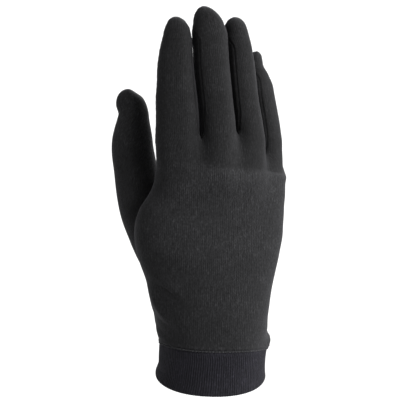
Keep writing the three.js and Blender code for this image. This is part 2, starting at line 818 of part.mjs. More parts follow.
// The hand below the crotches as one closed solid, which trims the thumb's tube
const bodyRows = bodyShares.length;
const bodySheet = sheetOf([
  ...backGrids.map((grid) => grid.slice(0, bodyRows)),
  ...palmGrids.map((grid) => grid.slice(0, bodyRows).map((row) => [...row].reverse())),
], true);
const handCore = core(bodySheet, sharedNormals([bodySheet]));
const thumbCore = core(thumbSheet, thumbNormals);

const backCloth = cloth(backSheet, handNormals, clothThickness);
const palmCloth = cloth(palmSheet, handNormals, clothThickness);
const thumbCloth = cloth(thumbSheet, thumbNormals, clothThickness);

const pieces = [
  { name: "back", geometry: cutAway(backCloth, thumbCore), finish: knit },
  { name: "palm", geometry: cutAway(palmCloth, thumbCore), finish: knit },
  ...crotches.map((crotch, j) => ({
    name: crotch.name,
    geometry: cutAway(
      cutAway(cloth(fourchetteSheets[j], handNormals, clothThickness), clearanceOf(backSheet, handNormals)),
      clearanceOf(palmSheet, handNormals),
    ),
    finish: knit,
  })),
  { name: "thumb", geometry: cutAway(thumbCloth, handCore), finish: knit },
  { name: "cuff", geometry: cloth(cuffSheet, cuffNormals, cuffThickness), finish: rib },
];

const glove = new THREE.Group();
for (const { name, geometry, finish } of pieces) {
  geometry.computeVertexNormals();
  const mesh = new THREE.Mesh(geometry, new THREE.MeshStandardMaterial(finish));
  mesh.name = name;
  glove.add(mesh);
}

export default glove;
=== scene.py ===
"""A thin knitted glove liner for the right hand, kept in its worn shape, with a ribbed wrist band.

The form is worked out in millimetres and becomes metres when a mesh is made. +Z runs up along the
hand, the back of the hand faces -Y and the thumb is on the -X side. A place on the hand is given by
how far across it lies, how deep towards the palm, and how far along the leaning middle line.
"""

from types import SimpleNamespace

import bpy
import numpy as np
from mathutils import Matrix, Vector


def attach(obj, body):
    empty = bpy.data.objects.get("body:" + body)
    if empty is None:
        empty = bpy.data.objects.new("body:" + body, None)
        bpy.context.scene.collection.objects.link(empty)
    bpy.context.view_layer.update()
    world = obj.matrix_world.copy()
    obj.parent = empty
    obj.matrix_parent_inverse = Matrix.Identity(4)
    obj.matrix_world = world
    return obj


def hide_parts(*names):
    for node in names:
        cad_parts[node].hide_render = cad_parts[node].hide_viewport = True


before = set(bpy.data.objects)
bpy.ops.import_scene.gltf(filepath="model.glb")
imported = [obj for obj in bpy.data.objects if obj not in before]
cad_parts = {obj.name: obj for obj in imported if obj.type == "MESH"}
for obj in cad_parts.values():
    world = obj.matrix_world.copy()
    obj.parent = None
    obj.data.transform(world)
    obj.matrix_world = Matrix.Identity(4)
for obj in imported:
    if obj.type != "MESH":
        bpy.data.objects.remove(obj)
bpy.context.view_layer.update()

METRES = 0.001

# Driving sizes of the glove
CUFF_HEIGHT = 26.5
CUFF_SIDE_HEIGHT = 20.5
HAND_LENGTH = 210.5
WRIST_BREADTH = 70
WRIST_DEPTH = 62
HAND_BREADTH = 96
HAND_DEPTH = 46
FINGER_BREADTH = 24
FINGER_DEPTH = 24
THUMB_BREADTH = 31
THUMB_DEPTH = 30
CLOTH_THICKNESS = 1.2
CUFF_THICKNESS = 2.0
FINGER_CLEARANCE = 0.4
TIP_ROUNDING = 11
THUMB_TIP_ROUNDING = 11
FOURCHETTE_HALF_ANGLE = np.radians(40)
SIDEWAYS_LEAN = 0.03

# Shape of the superellipse that each section follows, and of the tips
PALM_POWER = 2.15
FINGER_POWER = 2.3
THUMB_POWER = 2.2
TIP_POWER = 2.2
THUMB_TIP_POWER = 2.4

# How far the cuff's seam stands above the cuff's height in the middle of the back, and how much of
# its rise from the sides it has reached, by share of the way across the back
CUFF_SEAM_ARCH = 1.8
CUFF_SEAM_ROWS = [(0, 0), (0.06, 0.36), (0.125, 0.64), (0.19, 0.86), (0.25, 0.96), (0.5, 1),
                  (0.75, 0.98), (0.81, 0.80), (0.875, 0.50), (0.94, 0.15), (1, 0)]

# The fingers' turn at the cuff, as a share of the whole turn, and where it is complete
TURN_AT_CUFF = 0.2
TURNED_AT = 0.432

# Lean of the hand towards the palm, in degrees, by share of the hand's length above the cuff
LEAN_ROWS = [(0, 0), (0.02, 0), (0.16, 6), (0.35, 12), (0.56, 17), (0.78, 23), (1, 27)]

# Sections of the cuff: share of cuff height, thumb side, little side (shares of wrist breadth),
# half depth (share of wrist depth)
CUFF_ROWS = [
    (0, -0.503, 0.507, 0.556),
    (0.12, -0.486, 0.503, 0.544),
    (0.25, -0.472, 0.502, 0.531),
    (0.45, -0.469, 0.505, 0.516),
    (0.83, -0.463, 0.517, 0.500),
]

# Sections of the wrist and palm: share of hand length, how much of the hand's own size (0 wrist,
# 1 hand), thumb side, little side (shares of breadth), middle and half depth (shares of depth), tilt
PALM_ROWS = [
    (0.017, 0, -0.492, 0.516, 0.00, 0.492, 0),
    (0.088, 0.2, -0.497, 0.494, 0.00, 0.480, 2),
    (0.160, 0.4, -0.499, 0.489, 0.02, 0.468, 4),
    (0.254, 0.8, -0.516, 0.485, 0.06, 0.485, 8),
    (0.325, 1, -0.505, 0.490, 0.11, 0.478, 12),
    (0.387, 1, -0.500, 0.502, 0.15, 0.446, 15),
    (0.435, 1, -0.455, 0.504, 0.20, 0.413, 17),
    (0.482, 1, -0.411, 0.490, 0.22, 0.391, 19),
    (1, 1, -0.365, 0.479, 0.24, 0.370, 20),
]

# The four fingers: tip (share of hand length), turn of the finger's back towards the little side in
# degrees, and sections: share of hand length, half breadth, half depth (shares of finger size)
FINGERS = [
    SimpleNamespace(name="index", tip=0.960, turn=-4, sections=[
        (0.00, 0.42, 0.67), (0.35, 0.54, 0.65), (0.49, 0.60, 0.60), (0.59, 0.577, 0.51),
        (0.70, 0.550, 0.45), (0.76, 0.505, 0.43), (0.82, 0.465, 0.40), (0.875, 0.412, 0.37),
        (0.925, 0.335, 0.33), (1, 0.29, 0.29)]),
    SimpleNamespace(name="middle", tip=1, turn=10, sections=[
        (0.00, 0.33, 0.67), (0.35, 0.46, 0.67), (0.49, 0.483, 0.63), (0.59, 0.470, 0.51),
        (0.71, 0.463, 0.45), (0.82, 0.467, 0.43), (0.905, 0.467, 0.38), (0.955, 0.390, 0.33),
        (1, 0.320, 0.29)]),
    SimpleNamespace(name="ring", tip=0.983, turn=30, sections=[
        (0.00, 0.29, 0.67), (0.35, 0.417, 0.63), (0.49, 0.458, 0.58), (0.59, 0.430, 0.48),
        (0.71, 0.400, 0.41), (0.82, 0.390, 0.38), (0.89, 0.354, 0.34), (0.94, 0.312, 0.31),
        (1, 0.295, 0.28)]),
    SimpleNamespace(name="little", tip=0.893, turn=50, sections=[
        (0.00, 0.33, 0.67), (0.35, 0.438, 0.58), (0.49, 0.431, 0.490), (0.53, 0.372, 0.415),
        (0.59, 0.364, 0.387), (0.71, 0.380, 0.376), (0.78, 0.366, 0.356), (0.82, 0.302, 0.30),
        (0.853, 0.222, 0.225), (1, 0.185, 0.185)]),
]

# Middle of the middle finger across the hand: share of hand length, share of finger breadth
MIDDLE_ROWS = [(0, -0.17), (0.16, -0.17), (0.44, 0.12), (0.59, 0.19), (0.66, 0.165), (0.73, 0.10),
               (0.82, 0.02), (0.91, -0.02), (0.955, -0.06), (1, -0.16)]

# The crotches: share of hand length where the two fingers part, and rows of share of hand length,
# angle between the neighbours' middles in degrees, spare room (share of finger breadth)
CROTCHES = [
    SimpleNamespace(name="fourchette_index_middle", height=0.598, step=[
        (0.10, 0, -0.25), (0.35, 2, -0.2), (0.50, 5, -0.14), (0.56, 8, -0.05), (0.598, 9, 0),
        (0.75, 12, 0), (0.88, 12, 0), (0.925, 11, 0.05), (0.96, 10, 0.135), (1, 10, 0.18)]),
    SimpleNamespace(name="fourchette_middle_ring", height=0.615, step=[
        (0.10, 2, -0.25), (0.35, 14, -0.2), (0.50, 24, -0.14), (0.57, 28, -0.05), (0.615, 30, 0),
        (0.73, 31, 0), (0.80, 31, 0.02), (0.905, 30, 0.03), (0.943, 30, 0.09), (1, 30, 0.32)]),
    SimpleNamespace(name="fourchette_ring_little", height=0.563, step=[
        (0.10, 4, -0.25), (0.35, 24, -0.2), (0.46, 38, -0.14), (0.52, 44, -0.05), (0.563, 48, 0),
        (0.73, 50, 0), (0.835, 51, 0), (0.865, 51, 0.08), (0.891, 51, 0.20), (1, 51, 0.20)]),
]

# Where the palm's oval turns into four fingers side by side, and how softly the grooves are filled
MERGE_START = 0.33
MERGE_END = 0.54
SOFT_AT_CROTCH = 0.10
SOFT_BELOW = 0.38
SOFT_REACH = 0.14

# How far the side seam below the index finger turns towards the palm, in degrees
SIDE_SEAM_ROWS = [(0, 0), (0.10, 15), (0.25, 25), (0.40, 22), (0.54, 5), (0.59, 0)]

# Dents and swellings: share of hand length, place across (share of hand breadth) and in depth (share
# of hand depth), reach along and around, and how far the cloth sinks (shares of hand breadth)
RELIEF_ROWS = [
    (0.245, -0.37, -0.30, 0.07, 0.12, 0.0167),
    (0.075, -0.29, -0.37, 0.11, 0.10, 0.0146),
    (0.165, -0.33, -0.30, 0.05, 0.09, -0.0060),
    (-0.008, 0.37, 0.00, 0.034, 0.13, -0.0280),
]

# The thumb: share of its length, across (share of hand breadth), depth (share of hand depth), height
# (share of hand length), half breadth and half depth (shares of thumb size)
THUMB_ROWS = [
    (0.00, -0.28, 0.20, 0.16, 0.36, 0.36),
    (0.10, -0.350, 0.33, 0.215, 0.43, 0.45),
    (0.22, -0.415, 0.46, 0.285, 0.48, 0.50),
    (0.38, -0.492, 0.62, 0.368, 0.475, 0.483),
    (0.55, -0.538, 0.77, 0.463, 0.452, 0.433),
    (0.72, -0.566, 0.88, 0.549, 0.421, 0.387),
    (0.86, -0.567, 0.96, 0.625, 0.324, 0.327),
    (1.00, -0.624, 1.03, 0.701, 0.268, 0.255),
]

# Shares of a finger's length where its seams have opened, start to close and meet below the tip, and
# where the web between two fingers has become their walls
OPENED_AT = 0.23
CLOSING_FROM = 0.70
CLOSED_AT = 0.88
WEB_REACH = 0.05
EDGE_COLUMNS = 0.2

# How finely the surfaces are divided, and how much closer together their rows and columns stand where
# the cloth bends most
STRIP_COLUMNS = 30
WALL_COLUMNS = 16
CROWDING = 0.75
BODY_ROWS = 130
ROWS_AT_CUFF = 0.5
FINGER_ROWS = 62
TIP_ROWS = 20
THUMB_COLUMNS = 112
THUMB_ROW_COUNT = 110
ROWS_AT_THUMB_TIP = 0.7

# How finely places are worked out: steps of the middle line and how far past the tip it runs, rounds
# that bring a point back to it, stride and halvings of a ray, how far along the thumb its start is
# looked for and in how many trials, and the step that gives the thumb's direction
SPINE_STEPS = 600
SPINE_MARGIN = 1.02
PLACE_ROUNDS = 12
RAY_STRIDE = 1.5
HALVINGS = 22
THUMB_START_LIMIT = 0.7
THUMB_START_TRIALS = 141
THUMB_LINE_STEP = 0.02

# How closely points have to lie to become one, how many have their distances worked out at once, the
# angle past which an edge is sharp, and the least length that is divided by
WELDS_PER_MILLIMETRE = 500
POINTS_AT_ONCE = 2000
SHARP_ANGLE = np.radians(58)
TINY = 1e-12

BACK = -1
PALM = 1


def mix(a, b, share):
    """A straight blend: a at share 0 and b at share 1."""
    return a + (b - a) * share


def smoothstep(x):
    """3x squared less 2x cubed between 0 and 1, level outside."""
    x = np.clip(x, 0, 1)
    return x * x * (3 - 2 * x)


def unit(vectors):
    """The same directions with a length of one."""
    return vectors / np.maximum(np.linalg.norm(vectors, axis=-1, keepdims=True), TINY)


def travelled_along(line):
    """Distance covered along a line of points, from its first one."""
    return np.concatenate([[0], np.cumsum(np.linalg.norm(np.diff(line, axis=0), axis=-1))])


def last_inside(inside, low, high):
    """The last value that is inside, by halvings between one that is and one that isn't."""
    for _ in range(HALVINGS):
        middle = (low + high) / 2
        within = inside(middle)
        low = np.where(within, middle, low)
        high = np.where(within, high, middle)
    return low


def curve(x, rows, column=1):
    """A smooth curve through a table. Each stretch is a cubic whose tangents are the harmonic mean of
    the slopes on both sides of a row, or level where those slopes differ in sign."""
    xs = np.array([row[0] for row in rows], float)
    ys = np.array([row[column] for row in rows], float)
    slope = np.diff(ys) / np.diff(xs)
    before, after = slope[:-1], slope[1:]
    same_sign = before * after > 0
    inner = np.where(same_sign, 2 * before * after / np.where(same_sign, before + after, 1), 0)
    tangent = np.concatenate([slope[:1], inner, slope[-1:]])
    x = np.clip(x, xs[0], xs[-1])
    k = np.clip(np.searchsorted(xs, x, side="right") - 1, 0, len(xs) - 2)
    width = xs[k + 1] - xs[k]
    s = (x - xs[k]) / width
    return ((2 * s**3 - 3 * s**2 + 1) * ys[k] + (s**3 - 2 * s**2 + s) * width * tangent[k]
            + (3 * s**2 - 2 * s**3) * ys[k + 1] + (s**3 - s**2) * width * tangent[k + 1])


def height_of(share):
    """Distance from the hem along the middle line at a share of the hand's length."""
    return CUFF_HEIGHT + share * HAND_LENGTH


def share_of(along):
    """Share of the hand's length at a distance from the hem."""
    return (along - CUFF_HEIGHT) / HAND_LENGTH


def make_spine():
    """The hand's middle line: a walk along it whose direction turns towards the palm by the lean."""
    along = np.linspace(0, (CUFF_HEIGHT + HAND_LENGTH) * SPINE_MARGIN, SPINE_STEPS)
    lean = np.radians(curve(share_of(along), LEAN_ROWS))
    middle = (lean[1:] + lean[:-1]) / 2
    length = np.diff(along)
    y = np.concatenate([[0], np.cumsum(length * np.sin(middle))])
    z = np.concatenate([[0], np.cumsum(length * np.cos(middle))])
    return SimpleNamespace(along=along, lean=lean, y=y, z=z)


SPINE = make_spine()


def place(across, depth, along):
    """Points in space: the middle line's point at that distance, plus the depth square to the line
    towards the palm, and across less the sideways lean."""
    lean = np.interp(along, SPINE.along, SPINE.lean)
    return np.stack([
        across - SIDEWAYS_LEAN * along,
        np.interp(along, SPINE.along, SPINE.y) + depth * np.cos(lean),
        np.interp(along, SPINE.along, SPINE.z) - depth * np.sin(lean),
    ], axis=-1)


def unplace(points):
    """Across, depth and along of points in space: along is moved by what is left of the point along
    the middle line's direction until nothing is left."""
    x, y, z = points[..., 0], points[..., 1], points[..., 2]

    def from_line(along):
        lean = np.interp(along, SPINE.along, SPINE.lean)
        dy = y - np.interp(along, SPINE.along, SPINE.y)
        dz = z - np.interp(along, SPINE.along, SPINE.z)
        return dy, dz, np.sin(lean), np.cos(lean)

    along = np.array(z)
    for _ in range(PLACE_ROUNDS):
        dy, dz, sin, cos = from_line(along)
        along = along + dy * sin + dz * cos
    dy, dz, sin, cos = from_line(along)
    return x + SIDEWAYS_LEAN * along, dy * cos - dz * sin, along


def oval_distance(across, depth, oval, power):
    """Distance from a turned superellipse along the line to its middle, negative inside."""
    dp = across - oval.across
    dq = depth - oval.depth
    x = dp * np.cos(oval.turn) + dq * np.sin(oval.turn)
    y = dq * np.cos(oval.turn) - dp * np.sin(oval.turn)
    powers = np.abs(x / oval.half_breadth) ** power + np.abs(y / oval.half_depth) ** power
    return np.hypot(x, y) * (1 - 1 / np.maximum(powers ** (1 / power), TINY))


def oval_scale(angle, half_breadth, half_depth, power):
    """One over a superellipse's radius in a direction: the root of the summed powers of the
    direction's two parts over the half axes."""
    powers = (np.abs(np.cos(angle) / half_breadth) ** power
              + np.abs(np.sin(angle) / half_depth) ** power)
    return powers ** (1 / power)


def tip_shrink(near_tip, power):
    """How a section shrinks towards its tip: the root of one less a power of its nearness."""
    return np.sqrt(np.maximum(0, 1 - np.clip(near_tip, 0, 1) ** power))


def support(oval, direction):
    """Reach of a turned superellipse in a direction: the dual superellipse's radius there."""
    angle = direction - oval.turn
    power = FINGER_POWER / (FINGER_POWER - 1)
    return (np.abs(oval.half_breadth * np.cos(angle)) ** power
            + np.abs(oval.half_depth * np.sin(angle)) ** power) ** (1 / power)


def finger_ovals(along):
    """The four finger sections: from the middle finger outwards, each is set beside its neighbour at
    the crotch's angle, at the sum of both reaches plus the clearance and the spare room."""
    share = share_of(along)
    turned = np.clip(mix(TURN_AT_CUFF, 1, share / TURNED_AT), 0, 1)
    ovals = [SimpleNamespace(
        across=np.zeros_like(share),
        depth=np.zeros_like(share),
        turn=np.radians(finger.turn) * turned,
        half_breadth=curve(share, finger.sections, 1) * FINGER_BREADTH,
        half_depth=curve(share, finger.sections, 2) * FINGER_DEPTH,
    ) for finger in FINGERS]
    ovals[1].across = curve(share, MIDDLE_ROWS) * FINGER_BREADTH
    for start, end, direction, crotch in [(1, 0, -1, 0), (1, 2, 1, 1), (2, 3, 1, 2)]:
        angle = np.radians(curve(share, CROTCHES[crotch].step, 1))
        spare = FINGER_CLEARANCE + curve(share, CROTCHES[crotch].step, 2) * FINGER_BREADTH
        distance = support(ovals[start], angle) + support(ovals[end], angle) + spare
        ovals[end].across = ovals[start].across + direction * distance * np.cos(angle)
        ovals[end].depth = ovals[start].depth + direction * distance * np.sin(angle)
    return ovals


def palm_oval(along):
    """The oval of the cuff, wrist and palm: the cuff's rows up to the first palm row, then the palm's
    rows between the wrist's and the hand's own size."""
    share = share_of(along)
    cuff_share = along / CUFF_HEIGHT
    first = PALM_ROWS[0]
    first_share = 1 + first[0] * HAND_LENGTH / CUFF_HEIGHT
    cuff_rows = CUFF_ROWS + [(first_share, first[2], first[3], first[5])]
    of_hand = curve(share, PALM_ROWS, 1)
    breadth = mix(WRIST_BREADTH, HAND_BREADTH, of_hand)
    depth = mix(WRIST_DEPTH, HAND_DEPTH, of_hand)
    in_cuff = cuff_share < first_share

    def size(cuff_column, wrist_size, palm_column, hand_size):
        return np.where(in_cuff, curve(cuff_share, cuff_rows, cuff_column) * wrist_size,
                        curve(share, PALM_ROWS, palm_column) * hand_size)

    left = size(1, WRIST_BREADTH, 2, breadth)
    right = size(2, WRIST_BREADTH, 3, breadth)
    return SimpleNamespace(
        across=(left + right) / 2,
        depth=np.where(in_cuff, 0, curve(share, PALM_ROWS, 4) * depth),
        turn=np.where(in_cuff, 0, np.radians(curve(share, PALM_ROWS, 6))),
        half_breadth=(right - left) / 2,
        half_depth=size(3, WRIST_DEPTH, 5, depth),
    )


def station(along):
    """Everything about the hand's section that depends only on the place along it."""
    along = np.asarray(along, float)
    share = share_of(along)
    return SimpleNamespace(
        along=along,
        share=share,
        fingers=finger_ovals(along),
        palm=palm_oval(along),
        merged=smoothstep((share - MERGE_START) / (MERGE_END - MERGE_START)),
    )


def relief(across, depth, along):
    """Sum of the dents: each is its sinking times a bell of the distance along and the distance
    around, in millimetres inwards."""
    total = 0
    for row_along, row_across, row_deep, reach_along, reach_around, sinks in RELIEF_ROWS:
        up = (along - height_of(row_along)) / (reach_along * HAND_BREADTH)
        apart = np.hypot(across - row_across * HAND_BREADTH, depth - row_deep * HAND_DEPTH)
        around = apart / (reach_around * HAND_BREADTH)
        total = total + sinks * HAND_BREADTH * np.exp(-up * up - around * around)
    return total


def hand_field(across, depth, at):
    """Distance from the hand's surface: the palm's oval, blended into the nearest of the four finger
    ovals less a soft filling of each groove, plus the dents."""
    oval = oval_distance(across, depth, at.palm, PALM_POWER)
    distances = [oval_distance(across, depth, section, FINGER_POWER) for section in at.fingers]
    nearest = np.minimum.reduce(distances)
    union = nearest
    for j, crotch in enumerate(CROTCHES):
        below = np.clip((crotch.height - at.share) / SOFT_REACH, 0, 1)
        soft = mix(SOFT_AT_CROTCH, SOFT_BELOW, below) * FINGER_BREADTH
        apart = np.minimum(distances[j], distances[j + 1]) - nearest
        difference = np.abs(distances[j] - distances[j + 1])
        union = union - soft * np.log1p(np.exp(-difference / soft)) * np.exp(-apart / soft)
    return mix(oval, union, at.merged) + relief(across, depth, at.along)


def cast_ray(start, direction, at):
    """Where rays from inside first leave the hand: equal strides until outside, then halvings."""
    def inside(reach):
        return hand_field(start[0] + reach * direction[0], start[1] + reach * direction[1], at) < 0

    high = np.full(np.broadcast(start[0], direction[0], at.along).shape, RAY_STRIDE)
    going = np.ones(high.shape, bool)
    while going.any():
        going = going & inside(high) & (high < HAND_BREADTH)
        high = np.where(going, high + RAY_STRIDE, high)
    reach = last_inside(inside, high - RAY_STRIDE, high)
    return start[0] + reach * direction[0], start[1] + reach * direction[1]


def groove(crotch, side, at):
    """Bottom of the groove between two fingers: a ray from the point where they nearly touch, square
    to the line between their middles."""
    first, second = at.fingers[crotch], at.fingers[crotch + 1]
    angle = np.arctan2(second.depth - first.depth, second.across - first.across)
    share = support(first, angle) / (support(first, angle) + support(second, angle))
    start = (mix(first.across, second.across, share), mix(first.depth, second.depth, share))
    return cast_ray(start, (-side * np.sin(angle), side * np.cos(angle)), at)


def bearing_of(section, spot):
    """Angle of a place seen from a finger's middle: 0 towards the little side, negative on the back."""
    dp = spot[0] - section.across
    dq = spot[1] - section.depth
    return np.arctan2(dq * np.cos(section.turn) - dp * np.sin(section.turn),
                      dp * np.cos(section.turn) + dq * np.sin(section.turn))


def cuff_seam_height(across_share, side):
    """Height of the seam between cuff and hand: level on the palm, and on the back it rises from the
    sides to the middle by the table's share."""
    raised = curve(across_share, CUFF_SEAM_ROWS) if side == BACK else 0 * across_share
    return mix(CUFF_SIDE_HEIGHT, CUFF_HEIGHT + CUFF_SEAM_ARCH, raised)


def strip_spots(finger, side, u, along):
    """Places on the hand below the crotches in one finger's strip: rays from the finger's middle whose
    bearing runs evenly from one groove, or the side seam, to the next."""
    at = station(along)
    section = at.fingers[finger]
    left = groove(finger - 1, side, at) if finger > 0 else None
    right = groove(finger, side, at) if finger < len(FINGERS) - 1 else None
    if left is None:
        start = side * (np.pi - side * np.radians(curve(at.share, SIDE_SEAM_ROWS)))
    else:
        start = bearing_of(section, left)
    end = np.zeros_like(at.share) if right is None else bearing_of(section, right)
    if side == BACK:
        start = np.where(start > 0, start - 2 * np.pi, start)
    bearing = mix(start, end, u) + section.turn
    spots = cast_ray((section.across, section.depth), (np.cos(bearing), np.sin(bearing)), at)
    for k in (0, 1):
        if left is not None:
            spots[k][:, 0] = left[k][:, 0]
        if right is not None:
            spots[k][:, -1] = right[k][:, -1]
    return spots


def finger_spots(finger, bearing, along, joined):
    """Places on a finger's tube: the superellipse's radius at the bearing, shrunk to nothing at the
    tip as the root of one less a power, and blended into the hand's filled grooves by joined."""
    at = station(along)
    section = at.fingers[finger]
    near_tip = (along - height_of(FINGERS[finger].tip) + TIP_ROUNDING) / TIP_ROUNDING
    reach = tip_shrink(near_tip, TIP_POWER) / oval_scale(
        bearing, section.half_breadth, section.half_depth, FINGER_POWER)
    direction = (np.cos(bearing + section.turn), np.sin(bearing + section.turn))
    filled = cast_ray((section.across, section.depth), direction, at)
    filled_reach = np.hypot(filled[0] - section.across, filled[1] - section.depth)
    reach = mix(reach, filled_reach, joined)
    return section.across + reach * direction[0], section.depth + reach * direction[1]


def finger_row_height(finger, u, share):
    """Distance along the hand of a finger's row: from the line between its crotches up to its tip."""
    left = height_of(CROTCHES[max(finger - 1, 0)].height)
    right = height_of(CROTCHES[min(finger, len(CROTCHES) - 1)].height)
    base = mix(left, right, u)
    return base + (height_of(FINGERS[finger].tip) - base) * share


def seam_bearing(finger, side, end, share):
    """Bearing of the seam beside the strip that faces a neighbour: it leaves the groove's bottom, keeps
    a fixed angle to the line between the two fingers, and closes on the finger's side below its tip."""
    share = np.asarray(share, float)
    outermost = finger == 0 if end == 0 else finger == len(FINGERS) - 1
    axis = side * np.pi if end == 0 else 0.0
    if outermost:
        return np.full(share.shape, axis)
    crotch = finger - 1 + end
    at = station(finger_row_height(finger, end, share))
    step = np.radians(curve(at.share, CROTCHES[crotch].step, 1))
    facing = step - at.fingers[finger].turn + axis
    settled = facing + (-side if end == 0 else side) * FOURCHETTE_HALF_ANGLE
    base = station(np.array(height_of(CROTCHES[crotch].height)))
    at_crotch = float(bearing_of(base.fingers[finger], groove(crotch, side, base)))
    if end == 0 and np.sign(at_crotch) != side:
        at_crotch += side * 2 * np.pi
    opened = mix(at_crotch, settled, smoothstep(share / OPENED_AT))
    return mix(opened, axis, smoothstep((share - CLOSING_FROM) / (CLOSED_AT - CLOSING_FROM)))


def at_web(share):
    """How much a row still belongs to the web between two fingers: one at the crotch, none above."""
    return 1 - smoothstep(share / WEB_REACH)


def seam_spots(finger, side, end, share):
    """Places of the seam between the back or palm and the strip that faces a neighbour."""
    share = np.asarray(share, float)
    bearing = seam_bearing(finger, side, end, share)
    return finger_spots(finger, bearing, finger_row_height(finger, end, share), at_web(share))


# Shares of a finger's length for its rows: even up to where the seams close, then closer to the tip
TUBE_SHARES = np.concatenate([
    np.linspace(0, CLOSED_AT, FINGER_ROWS),
    CLOSED_AT + (1 - CLOSED_AT) * np.sin(np.linspace(0, np.pi / 2, TIP_ROWS + 1)[1:]),
])


def crowded(count):
    """Shares from 0 to 1 that stand closer together towards both ends, where the seams need them: an
    even run blended with half of one less a cosine."""
    even = np.linspace(0, 1, count + 1)
    return mix(even, 0.5 - 0.5 * np.cos(np.pi * even), CROWDING)


COLUMNS = crowded(STRIP_COLUMNS)


def cover_strip(i, side):
    """One finger's strip of the back or palm, from the cuff's seam to the fingertip, as a grid."""
    u = COLUMNS[None, :]
    seam = cuff_seam_height((i + u) / len(FINGERS), side)
    rise = np.linspace(0, 1, BODY_ROWS)[:, None]
    # Rows stand closer together at the cuff, where the cloth rolls over its seam
    rise = mix(rise, rise**2, ROWS_AT_CUFF)
    along = mix(seam, finger_row_height(i, u, 0), rise)
    body = place(*strip_spots(i, side, u + 0 * along, along), along)

    share = TUBE_SHARES[1:, None]
    along = finger_row_height(i, u, share)
    start = seam_bearing(i, side, 0, TUBE_SHARES[1:])[:, None]
    end = seam_bearing(i, side, 1, TUBE_SHARES[1:])[:, None]
    to_edge = np.ones_like(u)
    if i > 0:
        to_edge = np.minimum(to_edge, u / EDGE_COLUMNS)
    if i < len(FINGERS) - 1:
        to_edge = np.minimum(to_edge, (1 - u) / EDGE_COLUMNS)
    joined = mix(at_web(share), 1 - smoothstep(share / OPENED_AT), smoothstep(to_edge))
    tube = place(*finger_spots(i, mix(start, end, u), along, joined), along)
    return np.concatenate([body, tube])


def wall_grid(crotch):
    """The strip between two fingers: down the first finger's side, across the web and up the second's.
    Close to the web its points blend into the straight line across it."""
    shares = TUBE_SHARES[1:FINGER_ROWS]
    v = crowded(WALL_COLUMNS)[None, :]
    base = station(np.array(height_of(CROTCHES[crotch].height)))
    back, palm = groove(crotch, BACK, base), groove(crotch, PALM, base)
    web = [mix(back[k], palm[k], v) for k in (0, 1)]
    web_row = place(web[0], web[1], base.along + 0 * v)

    def wall(finger, end):
        share = shares[:, None]
        along = finger_row_height(finger, end, share) + 0 * v
        from_back = seam_bearing(finger, BACK, end, shares)[:, None]
        to_palm = seam_bearing(finger, PALM, end, shares)[:, None] - (2 * np.pi if end == 0 else 0)
        spots = finger_spots(finger, mix(from_back, to_palm, v), along, 0)
        spots = [mix(spots[k], web[k], at_web(share)) for k in (0, 1)]
        for side, edge, weight in ((BACK, 0, 1 - v), (PALM, -1, v)):
            seam = seam_spots(finger, side, end, shares)
            for k in (0, 1):
                short = (seam[k] - spots[k][:, edge])[:, None]
                spots[k] = spots[k] + short * weight
        return place(spots[0], spots[1], along)

    return np.concatenate([wall(crotch, 1)[::-1], web_row, wall(crotch + 1, 0)])


def thumb_frame(share):
    """Middle line and the two directions across the thumb: the first is square to the line and to the
    view from the back, the second square to both."""
    def centre(s):
        return np.stack([
            curve(s, THUMB_ROWS, 1) * HAND_BREADTH,
            curve(s, THUMB_ROWS, 2) * HAND_DEPTH,
            height_of(curve(s, THUMB_ROWS, 3)),
        ], axis=-1)

    after, before = np.minimum(share + THUMB_LINE_STEP, 1), np.maximum(share - THUMB_LINE_STEP, 0)
    ahead = unit(centre(after) - centre(before))
    across = unit(np.cross(ahead, np.array([0.0, -1.0, 0.0])))
    length = np.linalg.norm(centre(np.array(1.0)) - centre(np.array(0.0)))
    return centre(share), across, np.cross(across, ahead), length


# Dents and swellings of the thumb: share of its length, angle round it in degrees (0 towards the
# hand), reach along (share) and around (degrees), and height in millimetres
THUMB_DENTS = [
    (0.975, 0, 0.034, 46, -2.2),
    (0.950, 180, 0.035, 45, 0.5),
    (0.865, 180, 0.045, 55, -0.5),
    (0.930, -90, 0.050, 50, -0.6),
]


def thumb_dents(angle, share):
    """Sum of the thumb's dents: each is its height times a bell along and a bell around."""
    total = 0
    for row_share, row_angle, reach_along, reach_around, height in THUMB_DENTS:
        turned = np.degrees(np.angle(np.exp(1j * (angle - np.radians(row_angle)))))
        total = total + height * np.exp(-((share - row_share) / reach_along) ** 2
                                        - (turned / reach_around) ** 2)
    return total


def thumb_points(angle, share):
    """Points of the thumb's tube: a superellipse about its middle line, closed at the tip as the root
    of one less a power, with its dents."""
    middle, across, deep, length = thumb_frame(share)
    shrink = tip_shrink(1 - (1 - share) * length / THUMB_TIP_ROUNDING, THUMB_TIP_POWER)
    half_breadth = curve(share, THUMB_ROWS, 4) * THUMB_BREADTH
    half_depth = curve(share, THUMB_ROWS, 5) * THUMB_DEPTH
    scale = oval_scale(angle, half_breadth, half_depth, THUMB_POWER)
    reach = shrink * (1 / scale + thumb_dents(angle, share))
    return (middle + across * (reach * np.cos(angle))[..., None]
            + deep * (reach * np.sin(angle))[..., None])


def thumb_start(angle):
    """Share of the thumb's length at which each of its columns leaves the hand: the last of many
    even trials that lies inside the hand's field, then halvings up to the next one."""
    def inside(share):
        across, depth, along = unplace(thumb_points(angle + 0 * share, share))
        return hand_field(across, depth, station(along)) < 0

    trials = np.linspace(0, THUMB_START_LIMIT, THUMB_START_TRIALS)[:, None] + 0 * angle[None, :]
    within = inside(trials)
    last = trials.shape[0] - 1 - np.argmax(within[::-1], axis=0)
    low = trials[last, np.arange(angle.size)]
    return last_inside(inside, low, low + trials[1, 0])


